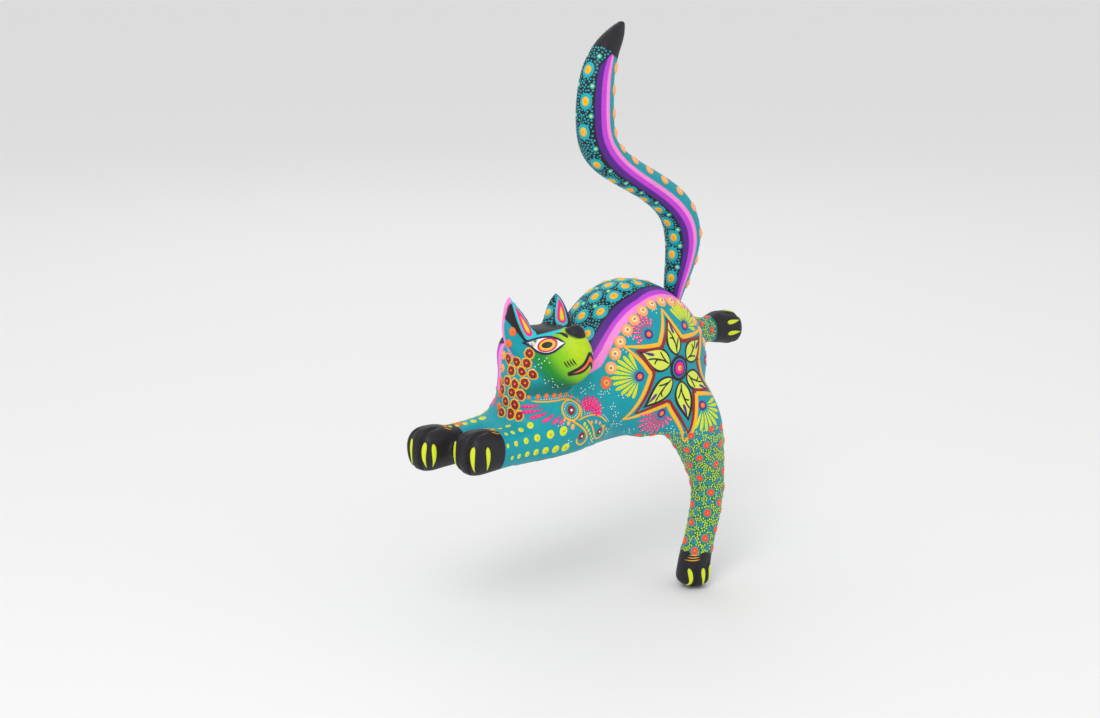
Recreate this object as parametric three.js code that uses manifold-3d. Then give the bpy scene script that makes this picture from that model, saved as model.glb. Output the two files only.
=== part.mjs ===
// A carved and painted wooden cat that lies along the edge of a shelf. Its forelegs reach forward, its
// head looks back over its left side, its rump is raised, one hind leg hangs down the shelf's face and
// the other is stretched out behind. The tail stands in a socket and lifts out.
//
// Millimetres, +Z up. The cat faces -X and its left side is -Y. The origin is the middle of the flat
// underside, so z = 0 is the top of the shelf.
import * as THREE from "three";
import { mergeVertices } from "three/addons/utils/BufferGeometryUtils.js";
import Module from "manifold-3d";

const wasm = await Module();
wasm.setup();

// ---- driving dimensions --------------------------------------------------------------------------
const GLUE_LINE = 0.3; // between two pieces that are glued together
const SHELF_FACE_Y = -25; // the shelf's front face, which the hanging leg lies against

const TRUNK_FRONT_X = -62;
const TRUNK_LENGTH = 143;
const TRUNK_WIDTH = 54;
const RUMP_HEIGHT = 79;
const TRUNK_BACK_X = TRUNK_FRONT_X + TRUNK_LENGTH;

const HAUNCH_X = TRUNK_BACK_X - 49; // middle of the folded left thigh
const HAUNCH_LENGTH = 0.545 * TRUNK_LENGTH;
const HAUNCH_HEIGHT = RUMP_HEIGHT - 1;
const HAUNCH_WIDTH = 38;
const HAUNCH_SPREAD = 17; // middle of a thigh from the middle plane
const HAUNCH_LEAN = 8; // degrees, top inwards
const FAR_HAUNCH_SHARE = 0.86; // the right thigh's height and width, stretched back and so lower

const FORELEG_SPREAD = 10.8; // middle of a foreleg from the middle plane
const FORELEG_RADIUS = 9.6; // at the wrist
const FOREPAW_WIDTH = 2 * FORELEG_SPREAD - 1; // the two paws just miss each other
const FOREPAW_HEIGHT = 22;
const FOREPAW_LENGTH = 22;
const LEFT_FOREPAW_X = TRUNK_FRONT_X - 30; // front of the paw
const RIGHT_FOREPAW_X = LEFT_FOREPAW_X - 12;

const NECK_X = TRUNK_FRONT_X + 24.6;
const NECK_Y = -3;
const NECK_RADIUS = 17.5;
const NECK_SEAM_Z = 0.418 * RUMP_HEIGHT; // where the head piece is glued on

const HEAD_TURN = 77; // degrees, from looking backwards (+X) towards the left
const HEAD_TILT = 7; // degrees, nose up
const HEAD_Z = NECK_SEAM_Z + 17; // middle of the skull
const HEAD_LENGTH = 52;
const HEAD_WIDTH = 33.5;
const HEAD_DEPTH = 31;
const NOSE_RADIUS = 4.6;

const EAR_WIDTH = 17;
const EAR_ROOT = 6; // how far an ear's foot starts inside the skull
const EAR_TANG_RADIUS = 2;
const EAR_TANG_DEPTH = 8;
// Height above the skull, distance to its own side and ahead of the skull's middle, how much the ear
// leans outwards and back for each unit it rises, and how far its hollow is turned outwards.
const LEFT_EAR = { height: 17.5, thickness: 14, spread: 14, ahead: 6, flare: 0.1, back: -0.02, turned: 0 };
const RIGHT_EAR = { height: 21, thickness: 8, spread: 14, ahead: 3, flare: 0.02, back: 0.05, turned: 0.5 };

const HIND_LEG_SEAM_Z = 4; // where the hanging leg is glued to the thigh
const HANGING_LEG_X = HAUNCH_X + 21; // where it leaves the thigh
const HANGING_LEG_DROP = 88; // shelf top to the tip of the hanging paw
const HIND_SHIN_RADIUS = 8.2;
const HIND_PAW_WIDTH = 17.6;
const STRETCHED_LEG_SEAM_X = TRUNK_BACK_X + 5; // where the stretched leg is glued to the thigh
const STRETCHED_LEG_LENGTH = 65; // seam to the tip of the paw
const STRETCHED_LEG_Y = HAUNCH_SPREAD + 9;
const STRETCHED_LEG_Z = 0.443 * RUMP_HEIGHT;

const TAIL_ROOT_X = TRUNK_BACK_X - 14;
const TAIL_ROOT_Z = 0.785 * RUMP_HEIGHT; // the tail's seat, just inside the rump
const TAIL_LEAN = 8; // degrees the peg leans back from upright
const TAIL_HEIGHT = 148.5; // seat to tip
const TAIL_ROOT_RADIUS = 4.8;
const TAIL_GIRTH = 9.6; // half width at the widest bend
const TAIL_PEG_SIDE = TAIL_ROOT_RADIUS + 0.8; // the peg is whittled square, so the tail cannot turn
const TAIL_PEG_LENGTH = 20;
const TAIL_PEG_CLEARANCE = 0.3;

const DOWEL_RADIUS = 3;
const DOWEL_LENGTH = 26;
const NECK_DOWEL_RADIUS = 4;
const DOWEL_END_GAP = 1;

const TOE_GROOVE_RADIUS = 1.7;

// ---- solids --------------------------------------------------------------------------------------
const REACH = 600; // longer than anything here
const LEFT = -1;
const RIGHT = 1;
const SIDEWAYS = new THREE.Vector3(0, 1, 0);
const UP = new THREE.Vector3(0, 0, 1);

const vec = (x, y, z) => new THREE.Vector3(x, y, z);

// A closed geometry as a manifold-3d solid.
function solid(geometry) {
  const bare = geometry.clone();
  bare.deleteAttribute("normal");
  bare.deleteAttribute("uv");
  const merged = mergeVertices(bare, 1e-4);
  const triVerts = new Uint32Array(merged.index.array);
  const made = new wasm.Manifold(
    new wasm.Mesh({ numProp: 3, vertProperties: merged.attributes.position.array, triVerts }),
  );
  return made;
}

const join = (...solids) => solids.reduce((a, b) => a.add(b));
const cut = (from, ...solids) => solids.reduce((a, b) => a.subtract(b), from);

// The side of a plane that its normal points to, as a very large block.
function halfSpace(point, normal) {
  const block = new THREE.BoxGeometry(REACH, REACH, REACH).translate(0, 0, REACH / 2);
  const turn = new THREE.Quaternion().setFromUnitVectors(UP, normal.clone().normalize());
  return solid(block.applyQuaternion(turn).translate(point.x, point.y, point.z));
}

function block(low, high) {
  const size = high.clone().sub(low);
  const middle = low.clone().add(high).multiplyScalar(0.5);
  return solid(new THREE.BoxGeometry(size.x, size.y, size.z).translate(middle.x, middle.y, middle.z));
}

// A round bar from one point to another.
function bar(from, to, radius, sides = 24) {
  const along = to.clone().sub(from);
  const middle = from.clone().add(to).multiplyScalar(0.5);
  const turn = new THREE.Quaternion().setFromUnitVectors(SIDEWAYS, along.clone().normalize());
  const geometry = new THREE.CylinderGeometry(radius, radius, along.length(), sides);
  return solid(geometry.applyQuaternion(turn).translate(middle.x, middle.y, middle.z));
}

function ellipsoid(centre, half, turn = new THREE.Euler(), sides = 32) {
  const geometry = new THREE.SphereGeometry(1, sides, sides * 0.6).scale(half.x, half.y, half.z);
  const placed = geometry.applyQuaternion(new THREE.Quaternion().setFromEuler(turn));
  return solid(placed.translate(centre.x, centre.y, centre.z));
}

// One closed skin over a row of rings, each an array of as many points, with a fan over both ends.
function skin(rings) {
  const sides = rings[0].length;
  const middle = (ring) => ring.reduce((sum, p) => sum.add(p), vec(0, 0, 0)).divideScalar(sides);
  const points = [...rings.flat(), middle(rings[0]), middle(rings.at(-1))];
  const first = points.length - 2;
  const last = points.length - 1;
  const faces = [];
  for (let side = 0; side < sides; side++) {
    const next = (side + 1) % sides;
    for (let row = 0; row < rings.length - 1; row++) {
      const a = row * sides;
      const b = a + sides;
      faces.push(a + side, a + next, b + next, a + side, b + next, b + side);
    }
    const end = (rings.length - 1) * sides;
    faces.push(first, next, side, last, end + side, end + next);
  }
  const geometry = new THREE.BufferGeometry().setFromPoints(points);
  geometry.setIndex(faces);
  return solid(geometry);
}

// A limb of oval section along a smooth path. girth holds the half width (along lateral) and half height
// at each point of the path, power the squareness of the section (2 is an oval), and startRound and
// endRound how far the rounded ends reach past the path. Every section is square to the path, or to
// facing where that is given.
function limb({ path, girth, lateral, facing, sides, steps, power = 2, startRound = 0, endRound = 0 }) {
  const line = new THREE.CatmullRomCurve3(path, false, "catmullrom", 0.5);
  const size = new THREE.CatmullRomCurve3(girth.map(([w, h]) => vec(w, h, 0)), false, "catmullrom", 0.5);
  const capSteps = 4;
  const stations = [];
  for (let k = 0; k < capSteps && startRound > 0; k++) {
    const turn = ((k + 0.35) / capSteps) * (Math.PI / 2);
    stations.push({ t: 0, shift: -startRound * Math.cos(turn), share: Math.sin(turn) });
  }
  for (let k = 0; k <= steps; k++) stations.push({ t: k / steps, shift: 0, share: 1 });
  for (let k = capSteps - 1; k >= 0 && endRound > 0; k--) {
    const turn = ((k + 0.35) / capSteps) * (Math.PI / 2);
    stations.push({ t: 1, shift: endRound * Math.cos(turn), share: Math.sin(turn) });
  }
  const rings = stations.map(({ t, shift, share }) => {
    const along = facing ?? line.getTangent(t).normalize();
    const across = lateral.clone().addScaledVector(along, -lateral.dot(along)).normalize();
    const upward = along.clone().cross(across);
    const centre = line.getPoint(t).addScaledVector(along, shift);
    const half = size.getPoint(t).multiplyScalar(share);
    return Array.from({ length: sides }, (_, side) => {
      const turn = (side / sides) * 2 * Math.PI;
      const round = (value) => Math.sign(value) * Math.abs(value) ** (2 / power);
      return centre
        .clone()
        .addScaledVector(across, half.x * round(Math.cos(turn)))
        .addScaledVector(upward, half.y * round(Math.sin(turn)));
    });
  });
  return skin(rings);
}

// ---- trunk ---------------------------------------------------------------------------------------
// Share of the length, the height of the back and of the underside as shares of the rump's, and the
// width as a share of the widest.
const TRUNK_PROFILE = [
  [0.03, 0.25, -0.08, 0.56],
  [0.12, 0.4, -0.08, 0.84],
  [0.25, 0.51, -0.08, 0.94],
  [0.34, 0.62, -0.08, 0.92],
  [0.43, 0.81, -0.08, 0.92],
  [0.52, 0.95, -0.08, 0.95],
  [0.63, 1.0, -0.08, 1.0],
  [0.75, 0.96, -0.08, 1.0],
  [0.84, 0.88, -0.06, 0.94],
  [0.91, 0.76, 0.0, 0.82],
  [0.96, 0.61, 0.12, 0.6],
];

function trunk(extra = 0) {
  const path = TRUNK_PROFILE.map(([share, top, bottom]) =>
    vec(TRUNK_FRONT_X + share * TRUNK_LENGTH, 0, ((top + bottom) / 2) * RUMP_HEIGHT),
  );
  const girth = TRUNK_PROFILE.map(([, top, bottom, width]) => [
    (width * TRUNK_WIDTH) / 2 + extra,
    ((top - bottom) / 2) * RUMP_HEIGHT + extra,
  ]);
  return limb({
    path,
    girth,
    lateral: SIDEWAYS,
    facing: vec(1, 0, 0),
    sides: 28,
    steps: 18,
    power: 2.2,
    startRound: 8,
    endRound: 8,
  });
}

function haunch(side, extra = 0) {
  const share = side === RIGHT ? FAR_HAUNCH_SHARE : 1;
  const half = vec(HAUNCH_LENGTH, HAUNCH_WIDTH * share, HAUNCH_HEIGHT * share).multiplyScalar(0.5);
  const lean = new THREE.Euler(side * THREE.MathUtils.degToRad(HAUNCH_LEAN), 0, 0);
  const middle = vec(HAUNCH_X + (1 - share) * 30, side * HAUNCH_SPREAD * share, half.z - 3 * share);
  return ellipsoid(middle, half.addScalar(extra), lean);
}

const rump = (extra) => join(trunk(extra), haunch(LEFT, extra), haunch(RIGHT, extra));

// ---- forelegs ------------------------------------------------------------------------------------
// Two grooves across the end of a paw part its three toes. along is the way the paw points, across its
// width and down the way its claws point.
function toeGrooves(tip, along, across, down, width, depth) {
  return [LEFT, RIGHT].map((side) => {
    const middle = tip.clone().addScaledVector(across, side * width * 0.18);
    const from = middle.clone().addScaledVector(down, -depth * 0.62).addScaledVector(along, -4.5);
    const to = middle.clone().addScaledVector(down, depth * 0.62).addScaledVector(along, 1.2);
    return bar(from, to, TOE_GROOVE_RADIUS, 10);
  });
}

function foreleg(side, pawFront) {
  const y = side * FORELEG_SPREAD;
  const pawZ = FOREPAW_HEIGHT / 2;
  const wristX = pawFront + FOREPAW_LENGTH + 4;
  const path = [
    vec(pawFront + 6, y, pawZ),
    vec(pawFront + 0.6 * FOREPAW_LENGTH, y, pawZ),
    vec(wristX, y, FORELEG_RADIUS),
    vec(TRUNK_FRONT_X + 20, y * 1.08, FORELEG_RADIUS + 1),
    vec(TRUNK_FRONT_X + 34, y * 1.12, FORELEG_RADIUS + 3.5),
    vec(TRUNK_FRONT_X + 56, y * 1.05, FORELEG_RADIUS + 7),
  ];
  const paw = [FOREPAW_WIDTH / 2 - 0.4, FOREPAW_HEIGHT / 2 + 0.2];
  const girth = [
    paw,
    paw,
    [FORELEG_RADIUS, FORELEG_RADIUS],
    [FORELEG_RADIUS + 0.6, FORELEG_RADIUS + 1],
    [FORELEG_RADIUS + 4, FORELEG_RADIUS + 5],
    [FORELEG_RADIUS + 5, FORELEG_RADIUS + 6],
  ];
  const leg = limb({
    path,
    girth,
    lateral: SIDEWAYS,
    sides: 20,
    steps: 16,
    power: 2.3,
    startRound: 6,
    endRound: 8,
  });
  const tip = vec(pawFront, y, pawZ + 1);
  return cut(leg, ...toeGrooves(tip, vec(-1, 0, 0), SIDEWAYS, vec(0, 0, -1), FOREPAW_WIDTH, FOREPAW_HEIGHT));
}

// ---- hind legs -----------------------------------------------------------------------------------
function hangingLeg() {
  const shin = HIND_SHIN_RADIUS;
  const y = SHELF_FACE_Y - shin;
  const drop = HANGING_LEG_DROP;
  const path = [
    vec(HANGING_LEG_X - 12, y + 10, 20),
    vec(HANGING_LEG_X - 3, y + 1, 4),
    vec(HANGING_LEG_X + 4, y, -0.16 * drop),
    vec(HANGING_LEG_X + 8.5, y, -0.34 * drop),
    vec(HANGING_LEG_X + 8, y, -0.5 * drop),
    vec(HANGING_LEG_X + 4, y, -0.68 * drop),
    vec(HANGING_LEG_X + 0.5, y, -0.8 * drop),
    vec(HANGING_LEG_X - 2, y, -0.95 * drop),
  ];
  const paw = [HIND_PAW_WIDTH / 2, HIND_PAW_WIDTH / 2];
  const girth = [
    [16, 20],
    [14, 16],
    [shin + 2.4, shin + 4],
    [shin + 0.6, shin + 0.8],
    [shin + 0.2, shin - 0.2],
    [shin - 0.2, shin - 0.4],
    [shin, shin + 0.1],
    paw,
  ];
  const leg = limb({
    path,
    girth,
    lateral: SIDEWAYS,
    sides: 20,
    steps: 22,
    power: 2.2,
    startRound: 6,
    endRound: 0.05 * drop,
  });
  const tip = vec(HANGING_LEG_X - 2.5, y, -drop);
  const down = vec(-1, 0, 0);
  return cut(leg, ...toeGrooves(tip, vec(-0.15, 0, -1), SIDEWAYS, down, HIND_PAW_WIDTH, HIND_PAW_WIDTH));
}

function stretchedLeg() {
  const shin = HIND_SHIN_RADIUS;
  const seam = STRETCHED_LEG_SEAM_X;
  const length = STRETCHED_LEG_LENGTH;
  const y = STRETCHED_LEG_Y;
  const z = STRETCHED_LEG_Z;
  const path = [
    vec(seam - 40, y - 7, z - 2),
    vec(seam - 18, y - 2, z),
    vec(seam, y, z),
    vec(seam + 0.31 * length, y + 1, z - 1),
    vec(seam + 0.54 * length, y + 1, z - 3.5),
    vec(seam + 0.74 * length, y + 1, z - 5),
    vec(seam + length - 5, y + 1, z - 7),
  ];
  const paw = [HIND_PAW_WIDTH / 2, HIND_PAW_WIDTH / 2 - 0.4];
  const girth = [
    [15, 22],
    [13.5, 18],
    [shin + 3, shin + 5],
    [shin + 0.6, shin + 1],
    [shin - 1.2, shin - 1.2],
    [paw[0] - 1, paw[1] - 0.6],
    paw,
  ];
  const leg = limb({
    path,
    girth,
    lateral: SIDEWAYS,
    sides: 20,
    steps: 22,
    power: 2.2,
    startRound: 6,
    endRound: 6,
  });
  const tip = vec(seam + length, y + 1, z - 7.5);
  return cut(leg, ...toeGrooves(tip, vec(1, 0, 0), SIDEWAYS, vec(0, 0, -1), HIND_PAW_WIDTH, HIND_PAW_WIDTH));
}

// ---- head ----------------------------------------------------------------------------------------
const turn = THREE.MathUtils.degToRad(HEAD_TURN);
const tilt = THREE.MathUtils.degToRad(HEAD_TILT);
const LOOK = vec(Math.cos(turn) * Math.cos(tilt), -Math.sin(turn) * Math.cos(tilt), Math.sin(tilt));
const HEAD_LEFT = UP.clone().cross(LOOK).normalize();
const HEAD_UP = LOOK.clone().cross(HEAD_LEFT).normalize();
const SKULL = vec(NECK_X, NECK_Y, HEAD_Z);

// A point of the head: ahead of the middle of the skull, to the head's left, and above it.
const onHead = (ahead, left, above) =>
  SKULL.clone()
    .addScaledVector(LOOK, ahead)
    .addScaledVector(HEAD_LEFT, left)
    .addScaledVector(HEAD_UP, above);

// Share of the head's length ahead of the skull's middle, the middle's height, and the half width and
// half depth as shares of the greatest.
const HEAD_PROFILE = [
  [-0.22, 0.5, 0.78, 0.84],
  [-0.08, 0.2, 0.95, 0.96],
  [0.08, 0.0, 1.0, 1.0],
  [0.25, -0.2, 0.93, 1.0],
  [0.4, -0.4, 0.76, 0.95],
  [0.52, -0.6, 0.55, 0.82],
  [0.59, -1.0, 0.38, 0.62],
];

function skull(extra) {
  const path = HEAD_PROFILE.map(([ahead, above]) => onHead(ahead * HEAD_LENGTH, 0, above));
  const girth = HEAD_PROFILE.map(([, , width, depth]) => [
    (width * HEAD_WIDTH) / 2 + extra,
    (depth * HEAD_DEPTH) / 2 + extra,
  ]);
  return limb({
    path,
    girth,
    lateral: HEAD_LEFT,
    sides: 26,
    steps: 14,
    power: 2.1,
    startRound: 6 + extra,
    endRound: 3.5 + extra,
  });
}

function neck(extra) {
  const path = [
    vec(NECK_X + 2, NECK_Y + 2, 12),
    vec(NECK_X + 1, NECK_Y + 1, 26),
    vec(NECK_X, NECK_Y, 40),
    vec(NECK_X, NECK_Y, HEAD_Z + 2),
  ];
  const r = NECK_RADIUS + extra;
  return limb({
    path,
    girth: [
      [r + 2, r + 3],
      [r + 1, r + 1.5],
      [r, r],
      [r - 2, r - 2],
    ],
    lateral: SIDEWAYS,
    sides: 26,
    steps: 8,
    startRound: 3,
    endRound: 7,
  });
}

const aboveSeam = (gap) => halfSpace(vec(0, 0, NECK_SEAM_Z + gap), UP);

// The head and neck with their outside grown by extra, down to the seam.
const headForm = (extra, gap) => join(skull(extra), neck(extra)).intersect(aboveSeam(gap));

function nose() {
  const half = vec(NOSE_RADIUS * 1.05, NOSE_RADIUS * 1.15, NOSE_RADIUS);
  const middle = onHead(0.51 * HEAD_LENGTH, 0, 0.37 * HEAD_DEPTH);
  return ellipsoid(middle, half, new THREE.Euler(0, 0, -turn), 16);
}

// ---- ears ----------------------------------------------------------------------------------------
// toLeft is 1 for the cat's left ear and -1 for its right.
function ear(toLeft, { height, thickness, spread, ahead, flare, back, turned }) {
  const crown = 0.5 * HEAD_DEPTH * Math.sqrt(1 - ((2 * spread) / (1.24 * HEAD_WIDTH)) ** 2);
  const foot = onHead(ahead, toLeft * spread, crown - EAR_ROOT);
  const rise = HEAD_UP.clone()
    .addScaledVector(HEAD_LEFT, toLeft * flare)
    .addScaledVector(LOOK, -back)
    .normalize();
  const across = HEAD_LEFT.clone().addScaledVector(LOOK, -toLeft * turned).normalize();
  const length = height + EAR_ROOT;
  const at = (share) => foot.clone().addScaledVector(rise, share * length);
  const blade = limb({
    path: [at(-0.05), at(0.1), at(0.3), at(0.5), at(0.7), at(0.87), at(1)],
    girth: [
      [EAR_WIDTH * 0.3, thickness * 0.5],
      [EAR_WIDTH * 0.4, thickness * 0.56],
      [EAR_WIDTH * 0.49, thickness * 0.5],
      [EAR_WIDTH * 0.43, thickness * 0.4],
      [EAR_WIDTH * 0.3, thickness * 0.31],
      [EAR_WIDTH * 0.15, thickness * 0.2],
      [0.8, 0.7],
    ],
    lateral: across,
    sides: 16,
    steps: 10,
    startRound: 1,
    endRound: 0.7,
  });
  const tangTop = at(0.3);
  const tangEnd = at(0).addScaledVector(rise, -EAR_TANG_DEPTH);
  return {
    blade,
    tang: bar(tangTop, tangEnd, EAR_TANG_RADIUS, 16),
    hole: bar(
      tangTop,
      tangEnd.clone().addScaledVector(rise, -DOWEL_END_GAP),
      EAR_TANG_RADIUS + GLUE_LINE,
      16,
    ),
  };
}

// ---- tail ----------------------------------------------------------------------------------------
// Height above the seat as a share of the tail's, how far the bend reaches back from the seat as a share
// too, and the half width as a share of the widest.
const TAIL_PROFILE = [
  [0.0, 0.0, 0.5],
  [0.045, 0.008, 0.55],
  [0.105, 0.026, 0.72],
  [0.175, 0.045, 0.88],
  [0.245, 0.053, 1.0],
  [0.315, 0.034, 1.0],
  [0.38, -0.018, 0.93],
  [0.445, -0.115, 0.84],
  [0.51, -0.24, 0.84],
  [0.565, -0.33, 0.92],
  [0.62, -0.38, 0.99],
  [0.69, -0.396, 1.0],
  [0.775, -0.396, 0.97],
  [0.855, -0.384, 0.87],
  [0.915, -0.35, 0.7],
  [0.965, -0.3, 0.42],
  [0.995, -0.272, 0.14],
];
const tailLean = THREE.MathUtils.degToRad(TAIL_LEAN);
const TAIL_AXIS = vec(Math.sin(tailLean), 0, Math.cos(tailLean));
const TAIL_SEAT = vec(TAIL_ROOT_X, 0, TAIL_ROOT_Z);

function tail() {
  const path = TAIL_PROFILE.map(([height, back]) =>
    TAIL_SEAT.clone().add(vec(back * TAIL_HEIGHT, 0, height * TAIL_HEIGHT - 3)),
  );
  const girth = TAIL_PROFILE.map(([, , share], index) => {
    const half = index === 0 ? TAIL_ROOT_RADIUS : share * TAIL_GIRTH;
    return [half * 0.9, half];
  });
  const curve = limb({ path, girth, lateral: SIDEWAYS, sides: 18, steps: 44, power: 2.2, endRound: 0.8 });
  return join(cut(curve, rump(GLUE_LINE)), tailPeg(0, 4, 0));
}

// The square peg under the tail, reaching rise above the seat and depth past its own length.
function tailPeg(clearance, rise, depth) {
  const side = TAIL_PEG_SIDE + 2 * clearance;
  const length = rise + TAIL_PEG_LENGTH + depth;
  const geometry = new THREE.BoxGeometry(side, side, length).translate(0, 0, rise - length / 2);
  const lean = new THREE.Quaternion().setFromUnitVectors(UP, TAIL_AXIS);
  return solid(geometry.applyQuaternion(lean).translate(TAIL_SEAT.x, TAIL_SEAT.y, TAIL_SEAT.z));
}

const tailSocket = () => tailPeg(TAIL_PEG_CLEARANCE, 20, DOWEL_END_GAP);

// ---- dowels --------------------------------------------------------------------------------------
const DOWELS = {
  neck_dowel: { at: vec(NECK_X, NECK_Y, NECK_SEAM_Z), along: UP, radius: NECK_DOWEL_RADIUS },
  left_hind_leg_dowel: {
    at: vec(HANGING_LEG_X - 2, SHELF_FACE_Y - HIND_SHIN_RADIUS, HIND_LEG_SEAM_Z),
    along: UP,
    radius: DOWEL_RADIUS,
  },
  right_hind_leg_dowel: {
    at: vec(STRETCHED_LEG_SEAM_X, STRETCHED_LEG_Y, STRETCHED_LEG_Z),
    along: vec(1, 0, -0.08).normalize(),
    radius: DOWEL_RADIUS,
  },
};

function dowel({ at, along, radius }, clearance = 0, depth = 0) {
  const half = DOWEL_LENGTH / 2 + depth;
  const from = at.clone().addScaledVector(along, -half);
  return bar(from, at.clone().addScaledVector(along, half), radius + clearance, 20);
}

const dowelHole = (name) => dowel(DOWELS[name], GLUE_LINE, DOWEL_END_GAP);

// ---- pieces --------------------------------------------------------------------------------------
const shelf = block(vec(-REACH, SHELF_FACE_Y, -REACH), vec(REACH, REACH, 0));

// Everything in front of the shelf's face and under the seam belongs to the hanging leg.
const hangingLegRoom = (behind, above) =>
  block(vec(-REACH, -REACH, -REACH), vec(REACH, SHELF_FACE_Y + behind, HIND_LEG_SEAM_Z + above));
const behindSeam = (gap) => halfSpace(vec(STRETCHED_LEG_SEAM_X + gap, 0, 0), vec(1, 0, 0));

const leftThigh = join(haunch(LEFT), hangingLeg());
const rightLeg = stretchedLeg();

const torso = cut(
  join(
    trunk(),
    leftThigh,
    haunch(RIGHT),
    cut(rightLeg, behindSeam(0)),
    foreleg(LEFT, LEFT_FOREPAW_X),
    foreleg(RIGHT, RIGHT_FOREPAW_X),
    cut(neck(0), aboveSeam(0)),
  ),
  shelf,
  hangingLegRoom(GLUE_LINE, 0),
  headForm(GLUE_LINE, 0),
  tailSocket(),
  dowelHole("neck_dowel"),
  dowelHole("left_hind_leg_dowel"),
  dowelHole("right_hind_leg_dowel"),
);

const ears = { left_ear: ear(1, LEFT_EAR), right_ear: ear(-1, RIGHT_EAR) };
const head = cut(
  join(headForm(0, GLUE_LINE), nose()),
  dowelHole("neck_dowel"),
  ears.left_ear.hole,
  ears.right_ear.hole,
);
const aroundEars = headForm(GLUE_LINE, 0);

const pieces = {
  torso,
  head,
  left_ear: join(cut(ears.left_ear.blade, aroundEars), ears.left_ear.tang),
  right_ear: join(cut(ears.right_ear.blade, aroundEars), ears.right_ear.tang),
  left_hind_leg: cut(
    cut(leftThigh.intersect(hangingLegRoom(0, -GLUE_LINE)), shelf),
    dowelHole("left_hind_leg_dowel"),
  ),
  right_hind_leg: cut(rightLeg.intersect(behindSeam(GLUE_LINE)), dowelHole("right_hind_leg_dowel")),
  tail: tail(),
  ...Object.fromEntries(Object.entries(DOWELS).map(([name, spec]) => [name, dowel(spec)])),
};

// ---- materials and scene -------------------------------------------------------------------------
const painted = (color) => new THREE.MeshStandardMaterial({ color, roughness: 0.45, metalness: 0 });
const teal = painted(0x0aa5a6);
const lime = painted(0x8fc31f);
const black = painted(0x24232b);
const bareWood = new THREE.MeshStandardMaterial({ color: 0xd9b98a, roughness: 0.8, metalness: 0 });
const MATERIALS = {
  torso: teal,
  head: lime,
  left_ear: black,
  right_ear: black,
  left_hind_leg: teal,
  right_hind_leg: teal,
  tail: teal,
};

function mesh(name, piece) {
  const { vertProperties, triVerts, numProp } = piece.getMesh();
  const points = [];
  for (let i = 0; i < vertProperties.length; i += numProp) {
    points.push(vec(...vertProperties.slice(i, i + 3)));
  }
  const geometry = new THREE.BufferGeometry().setFromPoints(points);
  geometry.setIndex([...triVerts]);
  geometry.computeVertexNormals();
  const made = new THREE.Mesh(geometry, MATERIALS[name] ?? bareWood);
  made.name = name;
  return made;
}

const cat = new THREE.Group();
for (const [name, piece] of Object.entries(pieces)) cat.add(mesh(name, piece));

export default cat;
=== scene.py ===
"""Painted wooden cat: finished surfaces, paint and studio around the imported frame."""
import bpy
import math
import random
import numpy as np
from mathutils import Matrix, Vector
from mathutils.bvhtree import BVHTree


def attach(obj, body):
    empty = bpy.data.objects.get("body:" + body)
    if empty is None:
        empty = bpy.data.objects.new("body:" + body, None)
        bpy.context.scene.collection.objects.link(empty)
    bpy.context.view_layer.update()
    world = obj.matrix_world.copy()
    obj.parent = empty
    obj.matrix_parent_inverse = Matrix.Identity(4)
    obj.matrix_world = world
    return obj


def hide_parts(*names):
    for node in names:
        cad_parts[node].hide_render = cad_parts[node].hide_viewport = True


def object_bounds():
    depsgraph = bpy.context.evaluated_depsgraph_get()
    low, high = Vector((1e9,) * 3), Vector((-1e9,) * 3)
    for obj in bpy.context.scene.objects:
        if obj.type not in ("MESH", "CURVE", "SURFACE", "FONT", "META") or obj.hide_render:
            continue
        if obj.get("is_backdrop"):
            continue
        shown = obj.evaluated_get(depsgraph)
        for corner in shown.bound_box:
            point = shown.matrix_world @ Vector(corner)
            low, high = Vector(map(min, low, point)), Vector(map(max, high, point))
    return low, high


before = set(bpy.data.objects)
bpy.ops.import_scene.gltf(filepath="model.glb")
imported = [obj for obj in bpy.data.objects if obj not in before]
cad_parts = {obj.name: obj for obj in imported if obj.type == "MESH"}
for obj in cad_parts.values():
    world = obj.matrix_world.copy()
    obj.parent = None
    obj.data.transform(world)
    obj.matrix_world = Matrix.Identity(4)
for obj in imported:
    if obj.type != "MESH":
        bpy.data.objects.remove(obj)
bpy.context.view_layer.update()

MM = 0.001
RNG = random.Random(11)

# ---------------------------------------------------------------- paints
COLOURS = {
    "teal": (0, 152, 165),
    "black": (27, 25, 31),
    "purple": (84, 26, 138),
    "magenta": (196, 62, 212),
    "pink": (250, 138, 218),
    "gold": (250, 184, 30),
    "lime": (214, 230, 30),
    "leaf": (214, 228, 78),
    "maroon": (138, 32, 38),
    "peach": (252, 172, 106),
    "orange": (250, 112, 48),
    "hot_pink": (244, 28, 128),
    "white": (246, 246, 242),
    "cyan": (30, 196, 208),
    "navy": (34, 22, 78),
    "green": (20, 140, 36),
    "red": (206, 40, 44),
    "ember": (246, 78, 34),
    # colour of the painted highlight on big peach beads
    "highlight_cream": (255, 222, 172),
    "bronze": (176, 132, 40),
    "halo": (0, 172, 184),
    "wood": (206, 160, 104),
}


def linear(rgb):
    share = np.array(rgb, dtype=float) / 255
    return np.where(share <= 0.04045, share / 12.92, ((share + 0.055) / 1.055) ** 2.4)


LINEAR = {name: linear(rgb) for name, rgb in COLOURS.items()}


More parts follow.
